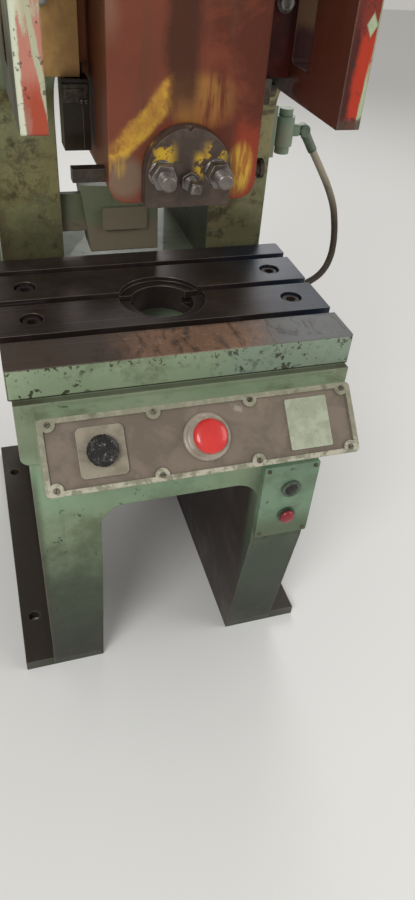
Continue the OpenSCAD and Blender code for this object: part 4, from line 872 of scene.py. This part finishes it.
# %% Crumble the palm button
palm = turned([(0, 23.4), (7, 23.2), (13, 22.1), (18, 20.2), (21.5, 17.8), (23.4, 15), (23.6, 12.6),
               (22, 11.2), (9, 11), (8, 10.4), (8, -16), (0, -16)], 72)
cap_edges = [edge for edge in palm.edges if min(vert.co.z for vert in edge.verts) > CAP_FOOT]
bmesh.ops.subdivide_edges(palm, edges=cap_edges, cuts=2, use_grid_fill=True)
palm.normal_update()
for vert in palm.verts:
    if vert.co.z > CAP_FOOT + 0.0003:
        crumb = noise.fractal(vert.co * 190, 0.7, 2.1, 4) + 0.6 * noise.noise(vert.co * 620)
        vert.co += vert.normal * 0.0011 * (crumb - 0.3)
crumbled = Finish("crumbled_rubber")
flour = crumbled.cloud(170, 5, 0.75)
patch = crumbled.cloud(60, 4, 0.7)
colour = crumbled.coats(
    (36, 34, 33),
    ((72, 70, 68), patch.rise(0.5, 0.62)),
    ((168, 166, 160), flour.rise(0.6, 0.66) * patch.rise(0.42, 0.55)),
    # Painted shade: darker in the hollows between the crumbs.
    ((20, 18, 17), crumbled.corners(0.004) * 0.8))
crumbled.paint(colour, 0.75 - patch.rise(0.5, 0.6) * 0.35)
crumbled.relief(flour * 0.6 + patch * 0.5, 0.0014)
shown("palm_cap", [(palm, on_panel(-159, BUTTON_ROW))], crumbled, "palm", "palm_button",
      slot="black_plastic", crease=60)

# %% Turn the start and stop buttons
STATION_FRONT = -19

dome = turned([(0, 8), (5, 7.8), (9, 6.9), (11.2, 5.4), (12, 4), (11.4, 4), (5, 4), (5, -8), (0, -8)])
shown("start_knob", [(dome, at(208.5, STATION_FRONT, -314, TO_FRONT))], black_mould, "start",
      "start_button", slot="black_plastic")
dome = turned([(0, 16), (6, 15.6), (10.5, 14.2), (13.6, 12), (15, 9.4), (15, 7.6), (14.4, 7), (5, 7),
               (5, -8), (0, -8)])
shown("stop_knob", [(dome, at(208.5, STATION_FRONT, -384, TO_FRONT))], wine_red, "stop",
      "stop_button", slot="red_plastic")

# %% [markdown]
# ## Screws
# The console is held by small pan heads with a slot. A slot is made as the gap between two
# half discs that stand on a thin full disc: the half disc is a circle cut by a plane and
# pulled up, and its top is drawn in. The larger screws are hexagons on a washer.

# %% A slotted head
HALF_SLOT = 0.0007
DRAWN_IN = 0.86


def half_disc(radius, low, high):
    mesh = bmesh.new()
    bmesh.ops.create_circle(mesh, cap_ends=True, segments=32, radius=radius / 1000)
    bmesh.ops.bisect_plane(mesh, geom=mesh.verts[:] + mesh.edges[:] + mesh.faces[:],
                           plane_co=(0, HALF_SLOT, 0), plane_no=(0, 1, 0), clear_inner=True)
    bmesh.ops.translate(mesh, verts=mesh.verts, vec=(0, 0, low / 1000))
    grown = bmesh.ops.extrude_face_region(mesh, geom=mesh.faces[:])
    top_verts = [g for g in grown["geom"] if isinstance(g, bmesh.types.BMVert)]
    bmesh.ops.translate(mesh, verts=top_verts, vec=(0, 0, (high - low) / 1000))
    for vert in top_verts:
        vert.co.x *= DRAWN_IN
        vert.co.y = HALF_SLOT + (vert.co.y - HALF_SLOT) * DRAWN_IN
    bmesh.ops.recalc_face_normals(mesh, faces=mesh.faces)
    return mesh


def slotted(radius, tall, shank_r, long):
    base = turned([(0, tall * 0.45), (radius * 0.98, tall * 0.45), (radius, tall * 0.2), (radius, 0),
                   (shank_r, 0), (shank_r, -long), (0, -long)], 24)
    halves = [(half_disc(radius, tall * 0.4, tall), twist(angle)) for angle in (0, math.pi)]
    return joined((base, STILL), *halves)


# %% Screws of the console and of the station
panel_spots = [(x, down) for x in (-231, -76, 76, 231) for down in (9, 104)]
station_spots = [(x, height_mm) for x in (159.5, 251.5) for height_mm in (-264, -431)]
pan_heads = [(slotted(4.4, 3, 3, 18), on_panel(x, down, 3) @ twist(0.9 * n + 0.3))
             for n, (x, down) in enumerate(panel_spots)]
pan_heads += [(slotted(4, 3, 3, 21), at(x, STATION_FRONT, height_mm, TO_FRONT) @ twist(1.3 * n + 0.5))
              for n, (x, height_mm) in enumerate(station_spots)]
old_screw = patched("old_screw", (112, 108, 94), (84, 80, 66), 60, 0.45, 0.4, dirt_and_shade=0.7)
shown("pan_heads", pan_heads, old_screw, "press_frame", "panel_screws")

# %% A hexagon head on a washer
def bolt(flats, tall, shank_r, long, washer):
    hexes = hexagon(flats, tall - washer, washer, flats * 0.06)
    stem = turned([(0, -long), (shank_r - 0.6, -long), (shank_r, -long + 0.8), (shank_r, 0),
                   (flats * 0.66, 0), (flats * 0.7, washer * 0.4), (flats * 0.68, washer), (0, washer)], 32)
    crown = turned([(0, tall + 0.3), (flats * 0.36, tall + 0.3), (flats * 0.45, tall - 0.5),
                    (0, tall - 0.5)], 32)
    return joined((hexes, STILL), (stem, STILL), (crown, STILL))


print("a bolt head has", len(bolt(19, 8, 6, 40, 2).faces), "faces")

# %% [markdown]
# ## The clamp's nuts, studs and set screw
# Two stout nuts on small washers pull the cap against the ram, and a square headed screw
# between them nips the shank of the tool. Their threads are rings of a fine pitch rather
# than one helix: at this size nobody can tell them apart, and rings come straight from the
# lathe.

# %% Threads, nuts and the set screw
def threaded(radius, first, last, pitch, *tail):
    outline = [(0, first), (radius - 1.6, first), (radius - 0.4, first + 0.9)]
    step = first + 1.2
    while step + pitch < last:
        outline += [(radius, step), (radius, step + pitch * 0.2),
                    (radius - pitch * 0.45, step + pitch * 0.55)]
        step += pitch
    return turned(outline + [(radius, last)] + list(tail), 40)


STUD_LINE, SCREW_LINE = 252, 243

studs, nuts = [], []
for x, angle in ((-39, 0.12), (39, -0.07)):
    place = at(x, 0, STUD_LINE, TO_BACK)
    studs.append((threaded(10, 12, 57, 2, (10, 240), (0, 240)), place))
    washer = turned([(10.3, 54), (17.4, 54), (18.2, 54.7), (18.2, 57), (10.3, 57)], 56)
    nuts += [(hexagon(31, 18, 37, 2.2), place @ twist(math.radians(30) + angle)), (washer, place)]
clamp_steel = patched("clamp_steel", (118, 111, 107), (84, 74, 68), 46, 0.36, 0.7, dirt_and_shade=0.6,
                      bare=(176, 172, 166))
shown("threaded_studs", studs, clamp_steel, "ram_slide_block", "clamp_studs")
shown("chamfered_nuts", nuts, clamp_steel, "ram_slide_block", "clamp_nuts")

square = bmesh.new()
bmesh.ops.create_cube(square, size=0.015)
bmesh.ops.translate(square, verts=square.verts, vec=(0, 0, 0.0245))
eased(square, 0.0016)
thread = threaded(8, 31, 57, 1.8, (8, 158), (0, 158))
point = turned([(0, 16.4), (4.8, 16.4), (5.8, 17.2), (5.8, 18), (0, 18)], 32)
place = at(0, 0, SCREW_LINE, TO_BACK)
screw = [(square, place @ twist(0.15)), (thread, place), (point, place), (hexagon(24, 12, 45, 1.8), place)]
shown("square_headed_screw", screw, clamp_steel, "ram_slide_block", "set_screw")

# %% [markdown]
# ## Hexagon screws of the gibs and covers
# All of them are the same turned bolt in other sizes. Loops put them in the holes that the
# castings and sheets have, on the gibs, the covers, the guard with its plate, and the air
# bracket. Each hole is given as a depth and a place.

# %% Screw on the gibs and covers
gib_bolts = [(bolt(19, 8, 6, 56, 2), at(side * 170, 196, 338 + h, TO_FRONT @ twist(h * 0.7)))
             for side in (-1, 1) for h in (95, 175, 255, 325)]
shown("gib_bolts", gib_bolts, bright, "press_frame", "gib_screws")

GUARD_BACK, GUARD_MIDDLE, GUARD_RING = 726, 760, 273.5

holes = []
for side in (-1, 1):
    holes += [(34, side * 204.5, 4, h, TO_FRONT) for h in (590, 745, 900)]
    holes += [(34, side * 142, b, 958) for b in (62, 170, 278)]
    holes += [(22, side * 150, 723, h, TO_BACK) for h in (620, 900)]
for swing in map(math.radians, (0, 30, 90, 150, 180)):
    aside, down = GUARD_RING * math.cos(swing), GUARD_RING * math.sin(swing)
    holes.append((11, aside, GUARD_BACK, GUARD_MIDDLE - down, TO_BACK))
holes.append((11, 0, GUARD_BACK, 1183.5, TO_BACK))
holes += [(29, 261, 420, h, TO_RIGHT) for h in (170, 240)]
cover_bolts = [(bolt(12.5, 6, 4, long, 1.2), at(*place)) for long, *place in holes]
shown("cover_bolts", cover_bolts, bright, "press_frame", "cover_screws")

# %% [markdown]
# ## Fittings of the hose
# The hose leaves the regulator through a hexagon, an elbow and a ribbed ferrule that is
# swaged on it, and ends in a ferrule and a hexagon on the side of the bed. The elbow is a
# short barrel that both arms run into.

# %% Fit the hose ends
HOSE_BACK = 400
HOSE_START = (349, 165)
ELBOW = (323.3, 204)
GLAND = (274, -123)


def on_hose(spot_mm, turn, aside=0.0):
    return at(spot_mm[0] + aside, HOSE_BACK, spot_mm[1], turn)


def ribs(foot, pitch, count, rib):
    return [(r, foot + pitch * n + h) for n in range(count) for r, h in rib]


nose = Vector((HOSE_START[0] - ELBOW[0], 0, HOSE_START[1] - ELBOW[1]))
lean = Vector((0, 0, 1)).rotation_difference(nose).to_matrix().to_4x4()
long = nose.length - 0.5
ferrule = turned([(0, 8), (9, 8), (9.6, 9), (9.6, 13), (8.2, 14), (8.2, 15)]
                 + ribs(15, 3.2, 8, ((8.6, 0.4), (9, 1.2), (9, 2.2), (8.3, 2.9)))
                 + [(8.8, long - 4.4), (9, long - 3), (8.6, long - 0.4), (7.4, long), (0, long)], 40)
barrel = turned([(0, -11), (8.5, -11), (10, -9.8), (11, -8), (11, 8), (10, 9.8), (8.5, 11), (0, 11)], 40)
neck = turned([(0, 0), (8.4, 0), (8.4, 14), (0, 14)], 32)
tail = turned([(0, 0), (10, 0), (10, 1)] + ribs(8, 2.6, 4, ((9.2, 0), (9.8, 0.9), (9.8, 1.7), (9.2, 2.4)))
              + [(8.8, 20.6), (7.6, 21.5), (0, 21.5)], 40)
port_nut, gland_nut = hexagon(17.3, 12, 0, 1.2), hexagon(18.5, 7, 1, 1.2)
ends = [(ferrule, on_hose(ELBOW, lean)), (barrel, on_hose(ELBOW, TO_BACK)),
        (neck, on_hose(ELBOW, TO_RIGHT, -14)), (port_nut, on_hose(ELBOW, TO_RIGHT, -12)),
        (tail, on_hose(GLAND, TO_RIGHT)), (gland_nut, on_hose(GLAND, TO_RIGHT))]
port_paint = patched("painted_fitting", (102, 118, 102), (88, 98, 84), 40, 0.36, 0.25, bare=(170, 168, 160))
shown("hose_ends", ends, port_paint, "press_frame", "hose_fittings")

# %% [markdown]
# ## The strap on the drip box
# A mottled strap with two bright screws clips the oil box to its gib, and the seam of the
# box shows as one light line. They are thin trim, so they exist only here.

# %% Clip the drip box
def bar(x0, x1, b0, b1, h0, h1, round_mm):
    mesh = bmesh.new()
    bmesh.ops.create_cube(mesh, size=1)
    low, high = spot(x0, b0, h0), spot(x1, b1, h1)
    bmesh.ops.scale(mesh, verts=mesh.verts, vec=high - low)
    bmesh.ops.translate(mesh, verts=mesh.verts, vec=(low + high) / 2)
    return eased(mesh, round_mm / 1000)


strap = bar(-149.5, -114, 178.5, 182.5, 309, 333, 1.2)
tongue = bar(-146, -122, 176.5, 179, 314, 328, 0.9)
seam = bar(-122.4, -121.2, 181.4, 182.6, 248, 306, 0.35)
mottled = patched("mottled_zinc", (88, 82, 70), (52, 46, 36), 70, 0.4, 0.4, dirt_and_shade=0.8, bare=(150, 146, 132))
shown("oil_box_strap", [(strap, STILL), (tongue, STILL), (seam, STILL)], mottled, "press_frame",
      slot="grey_plastic")
clip_screws = [(slotted(3, 3, 1.5, 4), at(x, 178.5, h, TO_FRONT))
               for x, h in ((-124.5, 311.5), (-118, 311))]
shown("clip_screws", clip_screws, bright, "press_frame")

# %% [markdown]
# ## The air hose
# A short rubber hose hangs from the regulator at the right column, bows outwards and comes
# back to its fitting on the side of the bed. Its route is the one that the solid part has,
# drawn here as one smooth curve with a round section.

# %% Hang the hose
ROUTE = [HOSE_START, (362, 146), (376, 125), (391, 102), (404, 79), (416, 53), (424, 26), (430, -3),
         (433, -33), (431, -62), (421, -88), (402, -107), (377, -118), (350, -122), (322, -123),
         (296, -123)]
HOSE_THICK = 0.014

hose_curve = bpy.data.curves.new("hose", "CURVE")
hose_curve.dimensions = "3D"
hose_curve.bevel_depth = HOSE_THICK / 2
hose_curve.bevel_resolution = 5
hose_curve.resolution_u = 6
hose_curve.use_fill_caps = True
line = hose_curve.splines.new("BEZIER")
line.bezier_points.add(len(ROUTE) - 1)
for point, (x, height_mm) in zip(line.bezier_points, ROUTE):
    point.co = spot(x, HOSE_BACK, height_mm)
    point.handle_left_type = point.handle_right_type = "AUTO"
hose = bpy.data.objects.new("hose", hose_curve)
scene.collection.objects.link(hose)

# %% The hose's rubber
sheath = Finish("hose_rubber")
smear = sheath.cloud(30, 5, 0.65)
colour = sheath.coats(
    (62, 52, 44),
    ((160, 148, 130), sheath.axes[2].rise(up(10), up(150))),
    ((62, 54, 48), smear.rise(0.5, 0.66) * 0.4),
    ((140, 134, 122), sheath.cloud(120, 3).rise(0.6, 0.7) * 0.3))
sheath.paint(colour, 0.55 + smear * 0.15)
sheath.relief(sheath.cloud(420, 2) * 0.4 + smear * 0.4, 0.0006)
hose_curve.materials.append(sheath.material)
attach(hose, "press_frame")
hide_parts("air_hose")
